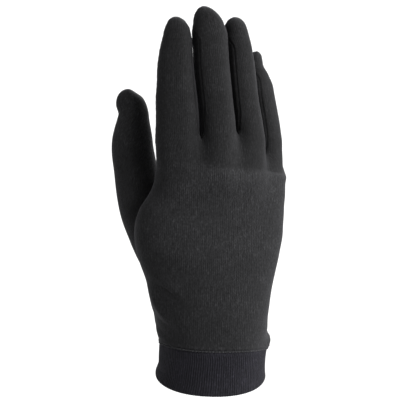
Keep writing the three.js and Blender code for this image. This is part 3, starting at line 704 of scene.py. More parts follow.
def thumb_grid(from_inside=False):
    """The thumb's tube as a grid, from the hand's surface, or from inside the hand, to its tip."""
    angle = np.linspace(0, 2 * np.pi, THUMB_COLUMNS + 1)
    start = np.zeros(angle.shape) if from_inside else thumb_start(angle)
    start[-1] = start[0]
    rise = np.linspace(0, 1, THUMB_ROW_COUNT)[:, None]
    rise = mix(rise, np.sin(rise * np.pi / 2), ROWS_AT_THUMB_TIP)
    share = start[None, :] + (1 - start[None, :]) * rise
    return thumb_points(angle[None, :] + 0 * share, share)


def row_lengths(grid):
    """Distance covered along each row of a grid, from its first point."""
    steps = np.linalg.norm(np.diff(grid, axis=1), axis=-1)
    return np.concatenate([np.zeros((len(grid), 1)), np.cumsum(steps, axis=1)], axis=1)


def knit_coordinates(grid):
    """Where each point lies in the cloth: across is the distance along its row from the middle column,
    up is the mean distance climbed from the first row. In millimetres."""
    lengths = row_lengths(grid)
    half = grid.shape[1] // 2
    across = lengths - lengths[:, half:half + 1]
    climbed = np.linalg.norm(np.diff(grid, axis=0), axis=-1).mean(axis=1)
    up = np.concatenate([[0], np.cumsum(climbed)])[:, None] + 0 * across
    return np.stack([across, up], axis=-1)


def welded(grids, coordinates, flip):
    """One sheet from several grids: equal points become one, faces are quads with corners dropped
    where they meet. Returns points, faces, cloth coordinates and a key for each point."""
    points = np.concatenate([grid.reshape(-1, 3) for grid in grids])
    cloth = np.concatenate([c.reshape(-1, 2) for c in coordinates])
    steps = np.round(points * WELDS_PER_MILLIMETRE).astype(np.int64)
    keys, first, index = np.unique(steps, axis=0, return_index=True, return_inverse=True)
    index = index.reshape(-1)
    faces = []
    offset = 0
    for grid in grids:
        rows, columns = grid.shape[:2]
        number = index[offset:offset + rows * columns].reshape(rows, columns)
        corners = [number[:-1, :-1], number[:-1, 1:], number[1:, 1:], number[1:, :-1]]
        faces.append(np.stack(corners, axis=-1).reshape(-1, 4))
        offset += rows * columns
    faces = np.concatenate(faces)
    if flip:
        faces = faces[:, ::-1]
    return SimpleNamespace(points=points[first], faces=faces, cloth=cloth[first], keys=keys)


def face_corners(faces):
    """Quads as lists of corners without repeats, leaving out those with fewer than three."""
    same_next = faces == np.roll(faces, -1, axis=1)
    plain = faces[~same_next.any(axis=1)]
    folded = faces[same_next.sum(axis=1) == 1]
    keep = ~(folded == np.roll(folded, -1, axis=1))
    triangles = folded[keep].reshape(-1, 3)
    distinct = ((triangles[:, 0] != triangles[:, 1]) & (triangles[:, 1] != triangles[:, 2])
                & (triangles[:, 0] != triangles[:, 2]))
    return plain, triangles[distinct]


def add_normals(sheets):
    """Outward direction at every point: face normals summed over all sheets that share the point."""
    keys = np.concatenate([sheet.keys for sheet in sheets])
    _, index = np.unique(keys, axis=0, return_inverse=True)
    index = index.reshape(-1)
    total = np.zeros((index.max() + 1, 3))
    offset = 0
    for sheet in sheets:
        shared = index[offset:offset + len(sheet.points)]
        corners = sheet.points[sheet.faces]
        normal = unit(np.cross(corners[:, 2] - corners[:, 0], corners[:, 3] - corners[:, 1]))
        for k in range(4):
            np.add.at(total, shared[sheet.faces[:, k]], normal)
        offset += len(sheet.points)
    total = unit(total)
    offset = 0
    for sheet in sheets:
        sheet.normals = total[index[offset:offset + len(sheet.points)]]
        offset += len(sheet.points)


def distance_to(points, targets):
    """Distance from each point to the nearest target, worked out a block of points at a time."""
    nearest = np.empty(len(points))
    for start in range(0, len(points), POINTS_AT_ONCE):
        block = points[start:start + POINTS_AT_ONCE]
        squares = ((block**2).sum(axis=1)[:, None] + (targets**2).sum(axis=1)[None, :]
                   - 2 * block @ targets.T)
        nearest[start:start + POINTS_AT_ONCE] = np.sqrt(np.maximum(squares.min(axis=1), 0))
    return nearest


def open_rim(quads, triangles, count):
    """The directed edges of these faces that no other face runs along the other way."""
    pairs = np.concatenate([np.stack([face, np.roll(face, -1, axis=1)], axis=-1).reshape(-1, 2)
                            for face in (quads, triangles)])
    there = pairs[:, 0] * count + pairs[:, 1]
    and_back = pairs[:, 1] * count + pairs[:, 0]
    return pairs[~np.isin(there, and_back)]


def shell(name, sheet, offset):
    """A closed wall from a sheet: the outer layer moved out by the offset, the inner layer below the
    plain sheet by the cloth's thickness, and the open edges joined."""
    quads, triangles = face_corners(sheet.faces)
    count = len(sheet.points)
    outer = sheet.points + sheet.normals * offset[:, None]
    inner = sheet.points - sheet.normals * CLOTH_THICKNESS
    rim = open_rim(quads, triangles, count)
    edges = np.stack([rim[:, 1], rim[:, 0], rim[:, 0] + count, rim[:, 1] + count], axis=-1)
    faces = [quads, triangles, quads[:, ::-1] + count, triangles[:, ::-1] + count, edges]
    cloth = np.concatenate([sheet.cloth, sheet.cloth])
    return make_mesh(name, np.concatenate([outer, inner]), faces, cloth)


def make_mesh(name, points, face_groups, cloth):
    """A mesh object from points in millimetres and groups of faces with equal numbers of corners,
    with the cloth coordinates, in metres, as its UV map."""
    face_groups = [group for group in face_groups if len(group)]
    corners = np.concatenate([group.reshape(-1) for group in face_groups]).astype(np.int32)
    sizes = np.concatenate([np.full(len(group), group.shape[1]) for group in face_groups])
    starts = np.concatenate([[0], np.cumsum(sizes)[:-1]]).astype(np.int32)
    mesh = bpy.data.meshes.new(name)
    mesh.vertices.add(len(points))
    mesh.vertices.foreach_set("co", (points * METRES).astype(np.float32).ravel())
    mesh.loops.add(len(corners))
    mesh.loops.foreach_set("vertex_index", corners)
    mesh.polygons.add(len(starts))
    mesh.polygons.foreach_set("loop_start", starts)
    mesh.update(calc_edges=True)
    uv = mesh.uv_layers.new(name="cloth")
    uv.data.foreach_set("uv", (cloth[corners] * METRES).astype(np.float32).ravel())
    mesh.polygons.foreach_set("use_smooth", np.ones(len(starts), bool))
    mesh.set_sharp_from_angle(angle=SHARP_ANGLE)
    mesh.validate()
    piece = bpy.data.objects.new(name, mesh)
    bpy.context.scene.collection.objects.link(piece)
    return piece


def closed_piece(name, grid, cloth, flip):
    """A piece made of one grid whose edges meet."""
    sheet = welded([grid], [cloth], flip)
    return make_mesh(name, sheet.points, face_corners(sheet.faces), sheet.cloth)


# The cloth beside a seam: it rolls up to a low ridge and dips to the stitches. In millimetres
SEAM_DIP = 0.20
SEAM_DIP_REACH = 0.50
SEAM_ROLL = 0.18
SEAM_ROLL_AT = 1.15
SEAM_ROLL_REACH = 0.62

# How the ridge's height wavers along the seam: share of the height, length of one waver, and start
SEAM_WAVERS = [(0.35, 4.2, 0), (0.2, 7.3, 1.3)]

# How strong the thumb's and the cuff's seams are beside a finger's, and how much wider the cuff's is
THUMB_SEAM = 0.6
CUFF_SEAM = 2.4
CUFF_SEAM_SPREAD = 1.25

# Slow waves of the cloth: size and height in millimetres, and how far one of a wave's eight parts may
# differ in size. Each piece has a seed of its own
BROAD_WAVES = (34, 0.30)
SMALL_WAVES = (13, 0.10)
THUMB_WAVES = (26, 0.3)
WAVE_PARTS = 8
WAVE_SPREAD = (0.7, 1.5)
BACK_SEED = 3
PALM_SEED = 4
THUMB_SEED = 9
WALL_SEED = 20
SMALL_WAVES_SEED = 50


def seam_offset(distance, up, strength=1.0):
    """Height of the cloth beside a seam: a narrow bell downwards at the stitches, a wider one upwards
    beside them, whose height wavers along the seam."""
    dip = SEAM_DIP * np.exp(-(distance / SEAM_DIP_REACH) ** 2)
    bell = np.exp(-((distance - SEAM_ROLL_AT) / SEAM_ROLL_REACH) ** 2)
    waver = 1
    for share, length, start in SEAM_WAVERS:
        waver = waver + share * np.sin(2 * np.pi * up / length + start)
    return strength * (SEAM_ROLL * bell * waver - dip)


# Folds and creases of the back: share of hand length, across (share of hand breadth), length, width
# above and width below (millimetres), turn of the fold in degrees, height (negative sinks)
BACK_FOLDS = [
    (0.524, -0.13, 15, 7.0, 1.3, -7, -0.85),
    (0.514, 0.17, 25, 8.0, 1.3, -1, -1.15),
    (0.505, 0.44, 9, 6.0, 1.3, -14, -1.10),
    (0.497, 0.47, 7, 2.2, 3.0, -10, 0.55),
    (0.503, 0.10, 34, 1.6, 5.0, -3, 0.30),
    (0.507, -0.36, 5, 2.2, 2.2, 10, -0.70),
    (0.156, -0.29, 8, 3.0, 4.2, -32, -2.4),
    (0.178, -0.27, 9, 3.5, 2.6, -34, 0.70),
    (0.108, -0.345, 9, 2.2, 2.4, -61, 1.2),
    (0.112, -0.295, 9, 3.2, 2.6, -61, -0.60),
    (0.046, -0.300, 10, 6.5, 5.0, -24, -2.1),
    (0.190, 0.07, 13, 1.6, 1.6, 1, 0.22),
    (0.040, 0.33, 16, 3.2, 3.2, -6, 0.35),
    (0.640, -0.28, 8, 2.6, 2.6, 4, -0.30),
    (0.705, -0.20, 6, 1.8, 1.8, 3, -0.35),
    (0.815, -0.22, 7, 2.4, 2.4, 2, -0.28),
    (0.705, 0.05, 6, 1.8, 1.8, -2, -0.32),
    (0.840, 0.00, 6, 2.0, 2.0, 4, -0.28),
    (0.720, 0.24, 6, 2.0, 2.0, -3, -0.28),
]

# The folds are on the back alone: how fast they come in as the cloth turns to face that way
FACING_GAIN = 2
FACING_LEVEL = 0.6


def fold_offset(points, normals, rows):
    """Sum of the folds: each is a bell across its width, narrower on one side if the row says so, times
    a bell along its length, about a line turned in the plane of across and along."""
    across, _, along = unplace(points)
    total = np.zeros(len(points))
    facing = np.clip(-normals[:, 1] * FACING_GAIN + FACING_LEVEL, 0, 1)
    for row_along, row_across, length, above, below, turn, height in rows:
        dx = across - row_across * HAND_BREADTH
        dz = along - height_of(row_along)
        cos, sin = np.cos(np.radians(turn)), np.sin(np.radians(turn))
        lengthwise = (dx * cos + dz * sin) / length
        widthwise = dz * cos - dx * sin
        widthwise = widthwise / np.where(widthwise > 0, above, below)
        total += height * np.exp(-widthwise**2 - lengthwise**2)
    return total * facing


def slow_waves(points, seed, size, height):
    """Uneven swelling of the cloth: the mean of plane waves in seeded directions, times the height."""
    random = np.random.default_rng(seed)
    total = np.zeros(len(points))
    for _ in range(WAVE_PARTS):
        direction = random.normal(size=3)
        direction /= np.linalg.norm(direction)
        phase = random.uniform(0, 2 * np.pi)
        length = size * random.uniform(*WAVE_SPREAD)
        total += np.sin(points @ direction * 2 * np.pi / length + phase)
    return height * total / WAVE_PARTS


# Surfaces of the hand
strips = {side: [cover_strip(i, side) for i in range(len(FINGERS))] for side in (BACK, PALM)}
walls = [wall_grid(j) for j in range(len(CROTCHES))]
tube_start = BODY_ROWS - 1

# The seams run up both sides of the hand and, from the crotches, up both sides of each finger
finger_seams = []
for side in (BACK, PALM):
    for i, strip in enumerate(strips[side]):
        finger_seams.append(strip[0 if i == 0 else tube_start:, 0])
        finger_seams.append(strip[0 if i == len(FINGERS) - 1 else tube_start:, -1])
finger_seams = np.concatenate(finger_seams)
cuff_edges = {side: np.concatenate([strip[0] for strip in strips[side]]) for side in (BACK, PALM)}
cuff_edge = np.concatenate([cuff_edges[BACK], cuff_edges[PALM]])

thumb_shell_grid = thumb_grid()
thumb_edge = thumb_shell_grid[0]


# The wale that runs straight up the hand, in millimetres from its middle towards the thumb
WALE_LINE = -3


def cover_coordinates(grids):
    """Cloth coordinates of a cover: below the crotches the distance along each row from the upright
    wale, and above them each finger goes on from its own middle column."""
    lengths = [row_lengths(grid) for grid in grids]
    starts = np.cumsum([np.zeros(len(grids[0])), *[length[:, -1] for length in lengths[:-1]]], axis=0)
    run = np.concatenate([start[:, None] + length for start, length in zip(starts, lengths)], axis=1)
    x = np.concatenate([grid[..., 0] for grid in grids], axis=1)
    middle = np.array([np.interp(WALE_LINE, row_x, row_run) for row_x, row_run in zip(x, run)])
    found = []
    for grid, length, start in zip(grids, lengths, starts):
        across = (start - middle)[:, None] + length
        half = grid.shape[1] // 2
        own = across[tube_start, half] + length - length[:, half:half + 1]
        across = np.where((np.arange(len(grid)) <= tube_start)[:, None], across, own)
        up = travelled_along(grid[:, half])[:, None] + 0 * across
        found.append(np.stack([across, up], axis=-1))
    return found


back_sheet = welded(strips[BACK], cover_coordinates(strips[BACK]), flip=False)
palm_sheet = welded(strips[PALM], cover_coordinates(strips[PALM]), flip=True)
wall_sheets = [welded([grid], [knit_coordinates(grid)], flip=True) for grid in walls]
thumb_sheet = welded([thumb_shell_grid], [knit_coordinates(thumb_shell_grid)], flip=True)
add_normals([back_sheet, palm_sheet, *wall_sheets])
add_normals([thumb_sheet])


def cloth_offset(sheet, seed, folds=()):
    """Everything that lifts or sinks the cloth of a piece: its seams, folds and slow waves."""
    up = sheet.cloth[:, 1]
    to_seam = distance_to(sheet.points, finger_seams)
    to_cuff = distance_to(sheet.points, cuff_edge)
    to_thumb = distance_to(sheet.points, thumb_edge)
    offset = seam_offset(to_seam, up)
    offset += seam_offset(to_thumb, up, THUMB_SEAM)
    offset += seam_offset(to_cuff / CUFF_SEAM_SPREAD, sheet.cloth[:, 0], CUFF_SEAM)
    offset += fold_offset(sheet.points, sheet.normals, folds)
    return (offset + slow_waves(sheet.points, seed, *BROAD_WAVES)
            + slow_waves(sheet.points, seed + SMALL_WAVES_SEED, *SMALL_WAVES))


def thumb_offset(sheet):
    """What lifts or sinks the thumb's cloth: the seam at its root and slow waves."""
    root = seam_offset(distance_to(sheet.points, thumb_edge), sheet.cloth[:, 0], THUMB_SEAM)
    return root + slow_waves(sheet.points, THUMB_SEED, *THUMB_WAVES)


back_piece = shell("back_cloth", back_sheet, cloth_offset(back_sheet, BACK_SEED, BACK_FOLDS))
palm_piece = shell("palm_cloth", palm_sheet, cloth_offset(palm_sheet, PALM_SEED))
wall_pieces = [shell(crotch.name + "_cloth", sheet, cloth_offset(sheet, WALL_SEED + j))
               for j, (crotch, sheet) in enumerate(zip(CROTCHES, wall_sheets))]
thumb_piece = shell("thumb_cloth", thumb_sheet, thumb_offset(thumb_sheet))


def thumb_cutter():
    """The space that the thumb takes in the hand's cloth, as a closed body: its tube from inside the
    hand, half a wall smaller, with its open end closed."""
    grid = thumb_grid(from_inside=True)
    sheet = welded([grid], [knit_coordinates(grid)], flip=True)
    add_normals([sheet])
    points = sheet.points - sheet.normals * CLOTH_THICKNESS / 2
    quads, triangles = face_corners(sheet.faces)
    count = len(points)
    rim = open_rim(quads, triangles, count)
    middle = points[rim[:, 0]].mean(axis=0)
    caps = np.stack([rim[:, 1], rim[:, 0], np.full(len(rim), count)], axis=-1)
    points = np.concatenate([points, middle[None, :]])
    cloth = np.concatenate([sheet.cloth, np.zeros((1, 2))])
    return make_mesh("thumb_space", points, [quads, triangles, caps], cloth)


def cut_by(piece, cutter):
    """Takes the cutter's space out of a piece and keeps the result as its mesh."""
    cut = piece.modifiers.new("opening", "BOOLEAN")
    cut.operation = "DIFFERENCE"
    cut.solver = "MANIFOLD"
    cut.object = cutter
    depsgraph = bpy.context.evaluated_depsgraph_get()
    mesh = bpy.data.meshes.new_from_object(piece.evaluated_get(depsgraph))
    piece.modifiers.clear()
    piece.data = mesh
    mesh.name = piece.name
    mesh.set_sharp_from_angle(angle=SHARP_ANGLE)


# The knuckle line of the back: share of hand breadth, share of hand length. Above it the colour and
# the bump are lowered as painted shade; just below it, on the little finger's side, the colour is
# paled as painted light
KNUCKLE_LINE = [(-0.5, 0.540), (-0.13, 0.524), (0.05, 0.514), (0.32, 0.511), (0.5, 0.498)]
KNUCKLE_PAINTED_SHADE = 0.64
KNUCKLE_PAINTED_LIGHT = 0.30
KNUCKLE_PAINTED_LIGHT_REACH = 17
LINE_SOFTNESS = 0.7
LINE_FADES = 8

# Where across the hand the line gives way to an even change towards the thumb, and how fast
SLACK_FROM = -0.14
SLACK_SOFTNESS = 0.05

# The rolled seam's colour, paled all round as a painted highlight, and the strips between the fingers,
# darkened to half as painted shade between the fingers; both scale the bump as well
SEAM_PAINTED_HIGHLIGHT = 1.8
WALL_PAINTED_SHADE = 0.50


def soft_step(x):
    """A smooth step from 0 to 1: one over the sum of one and the exponential of minus x."""
    return 1 / (1 + np.exp(-x))


def mark_pile(piece, paleness_with_painted_light=1.0):
    """Writes the pile: a scale of colour and bump that carries painted shade and light, one number a
    point or the same for them all.
    """
    pile = piece.data.attributes.new("pile", "FLOAT", "POINT")
    values = np.broadcast_to(paleness_with_painted_light, len(piece.data.vertices))
    pile.data.foreach_set("value", np.array(values, np.float32))


def knuckle_painted_light(piece):
    """Paleness of a cover's points: a soft step down above the knuckle line as painted shade, and a
    bell of painted light below it that fades towards the thumb."""
    points = np.empty(len(piece.data.vertices) * 3)
    piece.data.vertices.foreach_get("co", points)
    across, _, along = unplace(points.reshape(-1, 3) / METRES)
    share = across / HAND_BREADTH
    above = along - height_of(np.interp(share, *zip(*KNUCKLE_LINE)))
    slack = soft_step((share - SLACK_FROM) / SLACK_SOFTNESS)
    # Painted shade above the knuckle line; the bell below it is painted light
    painted_shade_above = soft_step(above / (LINE_SOFTNESS + LINE_FADES * (1 - slack)))
    raised = KNUCKLE_PAINTED_LIGHT * np.exp(-(above / KNUCKLE_PAINTED_LIGHT_REACH) ** 2) * slack * (1 - painted_shade_above)
    return 1 - (1 - KNUCKLE_PAINTED_SHADE) * painted_shade_above + raised


cutter = thumb_cutter()
for piece in (back_piece, palm_piece):
    cut_by(piece, cutter)
    # The covers get painted shade above the knuckle line and painted light below it
    mark_pile(piece, knuckle_painted_light(piece))
mark_pile(thumb_piece)
# The strips between the fingers get painted shade: half the colour
for piece in wall_pieces:
    mark_pile(piece, WALL_PAINTED_SHADE)
bpy.data.objects.remove(cutter)

# The ribs of the wrist band: pitch, height, points a rib, how rounded and how far sunk their wave is,
# how much of it is lost at the band's top, and how much of it the inside and the hem have
RIB_PITCH = 1.45
RIB_HEIGHT = 0.26
RIB_COLUMNS = 8
RIB_ROUNDING = 0.8
RIB_LEVEL = 0.6
RIB_LOST_AT_TOP = 0.8
RIB_INSIDE = 0.4
RIB_AT_HEM = 0.7

# The band's section: how far its folded hem hangs down and its teeth, the gap under the cloth, the
# share of its height over which its top tucks in, how far, how much further its inner edge does, its
# rows outside, round the hem and inside, and the steps in which its girth is measured
HEM_DROP = 0.9
HEM_TEETH = 0.12
TOP_GAP = 0.2
TUCK_SHARE = 0.1
CUFF_TUCK = 0.9
TOP_LIP = 0.2
BAND_ROWS_OUT = 22
BAND_ROWS_HEM = 8
BAND_ROWS_IN = 8
WRIST_STEPS = 4001

# Ripples of the hem: height, number round the wrist and start, and how much goes outwards and down
HEM_RIPPLES = [(0.25, 3, 0.6), (0.18, 7, 2)]
RIPPLES_OUT = 0.5
RIPPLES_DOWN = 0.3

# The rolled seam over the band: radius, how much it swells, length of a stitch, how far it lies below
# the cloth's edge, sides and points
SEAM_CORD_RADIUS = 0.48
SEAM_CORD_SWELL = 0.22
SEAM_STITCH = 2.1
SEAM_CORD_DROP = 0.15
SEAM_CORD_SIDES = 8
SEAM_CORD_POINTS = 900


def wrist_spots(angle, along):
    """Places on the band: the wrist oval's radius at that angle, less the dents."""
    oval = palm_oval(along)
    reach = 1 / oval_scale(angle, oval.half_breadth, oval.half_depth, PALM_POWER)
    across = oval.across + reach * np.cos(angle)
    depth = oval.depth + reach * np.sin(angle)
    reach = reach - relief(across, depth, along)
    return oval.across + reach * np.cos(angle), oval.depth + reach * np.sin(angle)


def wrist_outline():
    """Angles round the wrist at half the band's height, and the distance round it up to each."""
    angle = np.linspace(-np.pi, np.pi, WRIST_STEPS)
    outline = np.stack(wrist_spots(angle, CUFF_HEIGHT / 2 + 0 * angle), axis=-1)
    return angle, travelled_along(outline)


WRIST_ANGLES, WRIST_TRAVELLED = wrist_outline()
BAND_GIRTH = WRIST_TRAVELLED[-1]


def band_section():
    """The band's section, up the outside, over the top, down the inside and round the folded hem. For
    each row: share of the way from hem to top, fall below it, distance inwards, share of the ribs."""
    half = CUFF_THICKNESS / 2
    height = np.linspace(0, 1, BAND_ROWS_OUT)
    near_top = np.clip((height - (1 - TUCK_SHARE)) / TUCK_SHARE, 0, 1)
    turn = np.linspace(0, np.pi, BAND_ROWS_HEM + 2)[1:-1]
    rows = [(s, 0, CUFF_TUCK * t**2, 1 - RIB_LOST_AT_TOP * t) for s, t in zip(height, near_top)]
    rows += [(1, 0, CUFF_THICKNESS + TOP_LIP, 0)]
    rows += [(s, 0, CUFF_THICKNESS, RIB_INSIDE) for s in np.linspace(0, 1, BAND_ROWS_IN)[-2::-1]]
    rows += [(0, half * np.sin(t), half * (1 + np.cos(t)), RIB_AT_HEM) for t in turn]
    rows += [rows[0]]
    return [np.array(column)[:, None] for column in zip(*rows)]


def cuff_piece():
    """The band as one closed grid: its section carried round the wrist, from the hem to just below the
    cloth's edge. The ribs are a rounded wave, carried over the hem, which ripples slowly."""
    ribs = int(round(BAND_GIRTH / RIB_PITCH))
    travelled = np.linspace(0, BAND_GIRTH, ribs * RIB_COLUMNS + 1)
    angle = np.interp(travelled, WRIST_TRAVELLED, WRIST_ANGLES)
    edge_angle = np.arctan2(cuff_edge[:, 1], cuff_edge[:, 0] + SIDEWAYS_LEAN * cuff_edge[:, 2]
                            - palm_oval(np.array(CUFF_HEIGHT)).across)
    order = np.argsort(edge_angle)
    top = np.interp(angle, edge_angle[order], cuff_edge[order, 2], period=2 * np.pi) - TOP_GAP
    low = CUFF_THICKNESS / 2 - HEM_DROP
    share, fall, inwards, rib = band_section()
    ripple = sum(size * np.sin(count * angle + start) for size, count, start in HEM_RIPPLES)
    along = low + (top - low)[None, :] * share
    across, depth = wrist_spots(angle[None, :] + 0 * along, np.maximum(along, 0))
    centre = palm_oval(np.maximum(along, 0))
    out = unit(np.stack([across - centre.across, depth - centre.depth], axis=-1))
    phase = np.linspace(0, ribs, angle.size)
    wave = np.abs(np.sin(np.pi * phase)) ** RIB_ROUNDING - RIB_LEVEL
    lift = RIB_HEIGHT * rib * wave[None, :] - inwards + RIPPLES_OUT * ripple[None, :] * (1 - share)
    points = place(across + lift * out[..., 0], depth + lift * out[..., 1], along)
    points[..., 2] = (along - fall + RIPPLES_DOWN * ripple[None, :] * (1 - share)
                      - HEM_TEETH * wave[None, :] * (fall > 0))
    points[:, -1] = points[:, 0]
    points[-1] = points[0]
    cloth = np.stack([phase[None, :] * RIB_PITCH + 0 * along, along + 0 * phase], axis=-1)
    return closed_piece("cuff_band", points, cloth, flip=False)


def cuff_seam_line():
    """The closed line of the cuff's seam as equally spaced points, a little below the cloth's edge."""
    loop = np.concatenate([cuff_edges[BACK], cuff_edges[PALM][::-1]])
    _, kept = np.unique(np.round(loop, decimals=2), axis=0, return_index=True)
    loop = loop[np.sort(kept)]
    closed = np.concatenate([loop, loop[:1]])
    travelled = travelled_along(closed)
    at = np.linspace(0, travelled[-1], SEAM_CORD_POINTS + 1)[:-1]
    line = np.stack([np.interp(at, travelled, closed[:, k]) for k in range(3)], axis=-1)
    return line + [0, 0, -SEAM_CORD_DROP]


def cuff_seam_piece():
    """The roll of cloth along the cuff's seam: a circle carried square to its line, whose radius swells
    and thins once a stitch."""
    line = cuff_seam_line()
    ahead = unit(np.roll(line, -1, axis=0) - np.roll(line, 1, axis=0))
    out = unit(np.cross(ahead, np.array([0.0, 0.0, 1.0])))
    rise = np.cross(out, ahead)
    travelled = travelled_along(np.concatenate([line, line[:1]]))
    swell = 1 + SEAM_CORD_SWELL * np.sin(2 * np.pi * travelled[:-1] / SEAM_STITCH)
    radius = SEAM_CORD_RADIUS * swell
    angle = np.linspace(0, 2 * np.pi, SEAM_CORD_SIDES + 1)
    ring = (out[:, None, :] * np.cos(angle)[None, :, None]
            + rise[:, None, :] * np.sin(angle)[None, :, None])
    grid = line[:, None, :] + ring * radius[:, None, None]
    grid = np.concatenate([grid, grid[:1]])
    cloth = np.stack([travelled[:, None] + 0 * angle,
                      angle[None, :] * SEAM_CORD_RADIUS + 0 * grid[..., 0]], axis=-1)
    return closed_piece("cuff_seam", grid, cloth, flip=True)


band = cuff_piece()
cuff_cord = cuff_seam_piece()
mark_pile(band)
# The seam's roll gets a painted highlight: its colour paled all round
mark_pile(cuff_cord, SEAM_PAINTED_HIGHLIGHT)


# How both knits take the light
KNIT_FINISH = {
    "Roughness": 0.85,
    "Specular IOR Level": 0.16,
    "Sheen Weight": 0.16,
    "Sheen Roughness": 0.42,
    "Sheen Tint": (0.60, 0.60, 0.66, 1),
}

# What varies the tone of a knit: scales across, up and deep, detail, and weight
SPECKS = ((1150, 640, 1), 2, 1.15)
STREAKS = ((880, 190, 1), 2, 0.95)
BLOTCHES = ((60, 60, 60), 3, 0.45)

# The ramp from a knit's darkest spots to its palest: place on it, share of the knit's colour
TONES = [(0.15, 0.45), (0.6, 1.1), (0.9, 2.1), (1, 2.3)]

# Height of a stitch beside its wale's, height of the fuzz beside a stitch's, and strength of the bump
STITCH_SHARE = 0.45
FUZZ = 3.0
BUMP_STRENGTH = 0.8


def node(tree, kind, **values):
    """A shader node with its settings: names of properties, or inputs as in0, in1 and so on."""
    made = tree.nodes.new(kind)
    for name, value in values.items():
        if name.startswith("in") and name[2:].isdigit():
            made.inputs[int(name[2:])].default_value = value
        else:
            setattr(made, name, value)
    return made


def maths(tree, operation, first, second=None):
    """One arithmetic node, whose inputs are sockets or numbers."""
    made = node(tree, "ShaderNodeMath", operation=operation)
    for socket, value in zip(made.inputs, (first, second)):
        if isinstance(value, (int, float)):
            socket.default_value = value
        elif value is not None:
            tree.links.new(value, socket)
    return made.outputs[0]


def noise(tree, coordinates, scale, detail):
    """Noise on a set of coordinates stretched by three scales."""
    stretch = node(tree, "ShaderNodeMapping")
    stretch.inputs["Scale"].default_value = scale
    tree.links.new(coordinates, stretch.inputs[0])
    made = node(tree, "ShaderNodeTexNoise")
    made.inputs["Scale"].default_value = 1
    made.inputs["Detail"].default_value = detail
    tree.links.new(stretch.outputs[0], made.inputs["Vector"])
    return made.outputs[0]


def knit_material(name, colour, wale, course, depth, stitch_tone, stitch_height):
    """Black jersey or rib. Rows of V-shaped stitches, a wale wide and a course high, stand as bump with
    a fine fuzz, and tint the colour, which also has fine specks, streaks along the wales and soft
    blotches: the tone is a half plus each pattern less a half times its weight. The pile scales the
    colour and the bump; where it differs from one it is painted shade and painted light, on the back's
    knuckle line, between the fingers and on the cuff's seam."""
    material = bpy.data.materials.new(name)
    material.use_nodes = True
    tree = material.node_tree
    shader = tree.nodes["Principled BSDF"]
    for socket, value in KNIT_FINISH.items():
        shader.inputs[socket].default_value = value
    cloth = node(tree, "ShaderNodeUVMap", uv_map="cloth").outputs[0]
    in_space = node(tree, "ShaderNodeTexCoord").outputs["Object"]
    pile = node(tree, "ShaderNodeAttribute", attribute_name="pile").outputs["Fac"]

    split = node(tree, "ShaderNodeSeparateXYZ")
    tree.links.new(cloth, split.inputs[0])
    across = maths(tree, "DIVIDE", split.outputs[0], wale * METRES)
    up = maths(tree, "DIVIDE", split.outputs[1], course * METRES)
    from_middle = maths(tree, "ABSOLUTE", maths(tree, "SUBTRACT", maths(tree, "FRACT", across), 0.5))
    slanted = maths(tree, "ADD", up, from_middle)
    stitch = maths(tree, "SINE", maths(tree, "MULTIPLY", slanted, 2 * np.pi))
    column = maths(tree, "COSINE", maths(tree, "MULTIPLY", from_middle, 2 * np.pi))
    height = maths(tree, "ADD", column, maths(tree, "MULTIPLY", stitch, STITCH_SHARE))

    tone = 0.5
    patterns = []
    for coordinates, (scale, detail, weight) in [(cloth, SPECKS), (cloth, STREAKS), (in_space, BLOTCHES)]:
        patterns.append(noise(tree, coordinates, scale, detail))
        part = maths(tree, "MULTIPLY", maths(tree, "SUBTRACT", patterns[-1], 0.5), weight)
        tone = maths(tree, "ADD", part, tone)
    tone = maths(tree, "ADD", tone, maths(tree, "MULTIPLY", height, stitch_tone))
    ramp = node(tree, "ShaderNodeValToRGB")
    steps = ramp.color_ramp.elements
    for position, _ in TONES[1:-1]:
        steps.new(position)
    for step, (position, share) in zip(steps, TONES):
        step.position = position
        step.color = (*[share * c for c in colour], 1)
    tree.links.new(tone, ramp.inputs[0])
    # The colour is scaled by the pile, which carries the painted shade and painted light
    paler_with_painted_light = node(tree, "ShaderNodeVectorMath", operation="SCALE")
    tree.links.new(ramp.outputs[0], paler_with_painted_light.inputs[0])
    tree.links.new(pile, paler_with_painted_light.inputs["Scale"])
    tree.links.new(paler_with_painted_light.outputs[0], shader.inputs["Base Color"])

    bump = node(tree, "ShaderNodeBump")
    bump.inputs["Strength"].default_value = BUMP_STRENGTH
    bump.inputs["Distance"].default_value = depth * METRES
    fuzz = maths(tree, "MULTIPLY", patterns[0], FUZZ)
    fuzzy = maths(tree, "ADD", maths(tree, "MULTIPLY", height, stitch_height), fuzz)
    tree.links.new(maths(tree, "MULTIPLY", fuzzy, pile), bump.inputs["Height"])
    tree.links.new(bump.outputs[0], shader.inputs["Normal"])
    return material


jersey = knit_material("black_jersey", colour=(0.0160, 0.0160, 0.0170), wale=1.25, course=1.0,
                       depth=0.08, stitch_tone=0.03, stitch_height=0.6)
ribbing = knit_material("black_ribbing", colour=(0.0128, 0.0122, 0.0165), wale=0.72, course=0.9,
                        depth=0.06, stitch_tone=0.05, stitch_height=1.0)


def layer_area(piece):
    """Area of one layer of a closed wall, in square metres: half of all its faces."""
    areas = np.empty(len(piece.data.polygons))
    piece.data.polygons.foreach_get("area", areas)
    return float(areas.sum() / 2)


for piece, sheet, stands_for in [
    (back_piece, back_sheet, "back"),
    (palm_piece, palm_sheet, "palm"),
    (thumb_piece, thumb_sheet, "thumb"),
    *zip(wall_pieces, wall_sheets, [crotch.name for crotch in CROTCHES]),
]:
    piece.data.materials.clear()
    piece.data.materials.append(jersey)
    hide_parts(stands_for)
    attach(piece, "root")
    layer_area(piece)

band.data.materials.append(ribbing)
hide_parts("cuff")
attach(band, "root")

cuff_cord.data.materials.append(jersey)
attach(cuff_cord, "root")

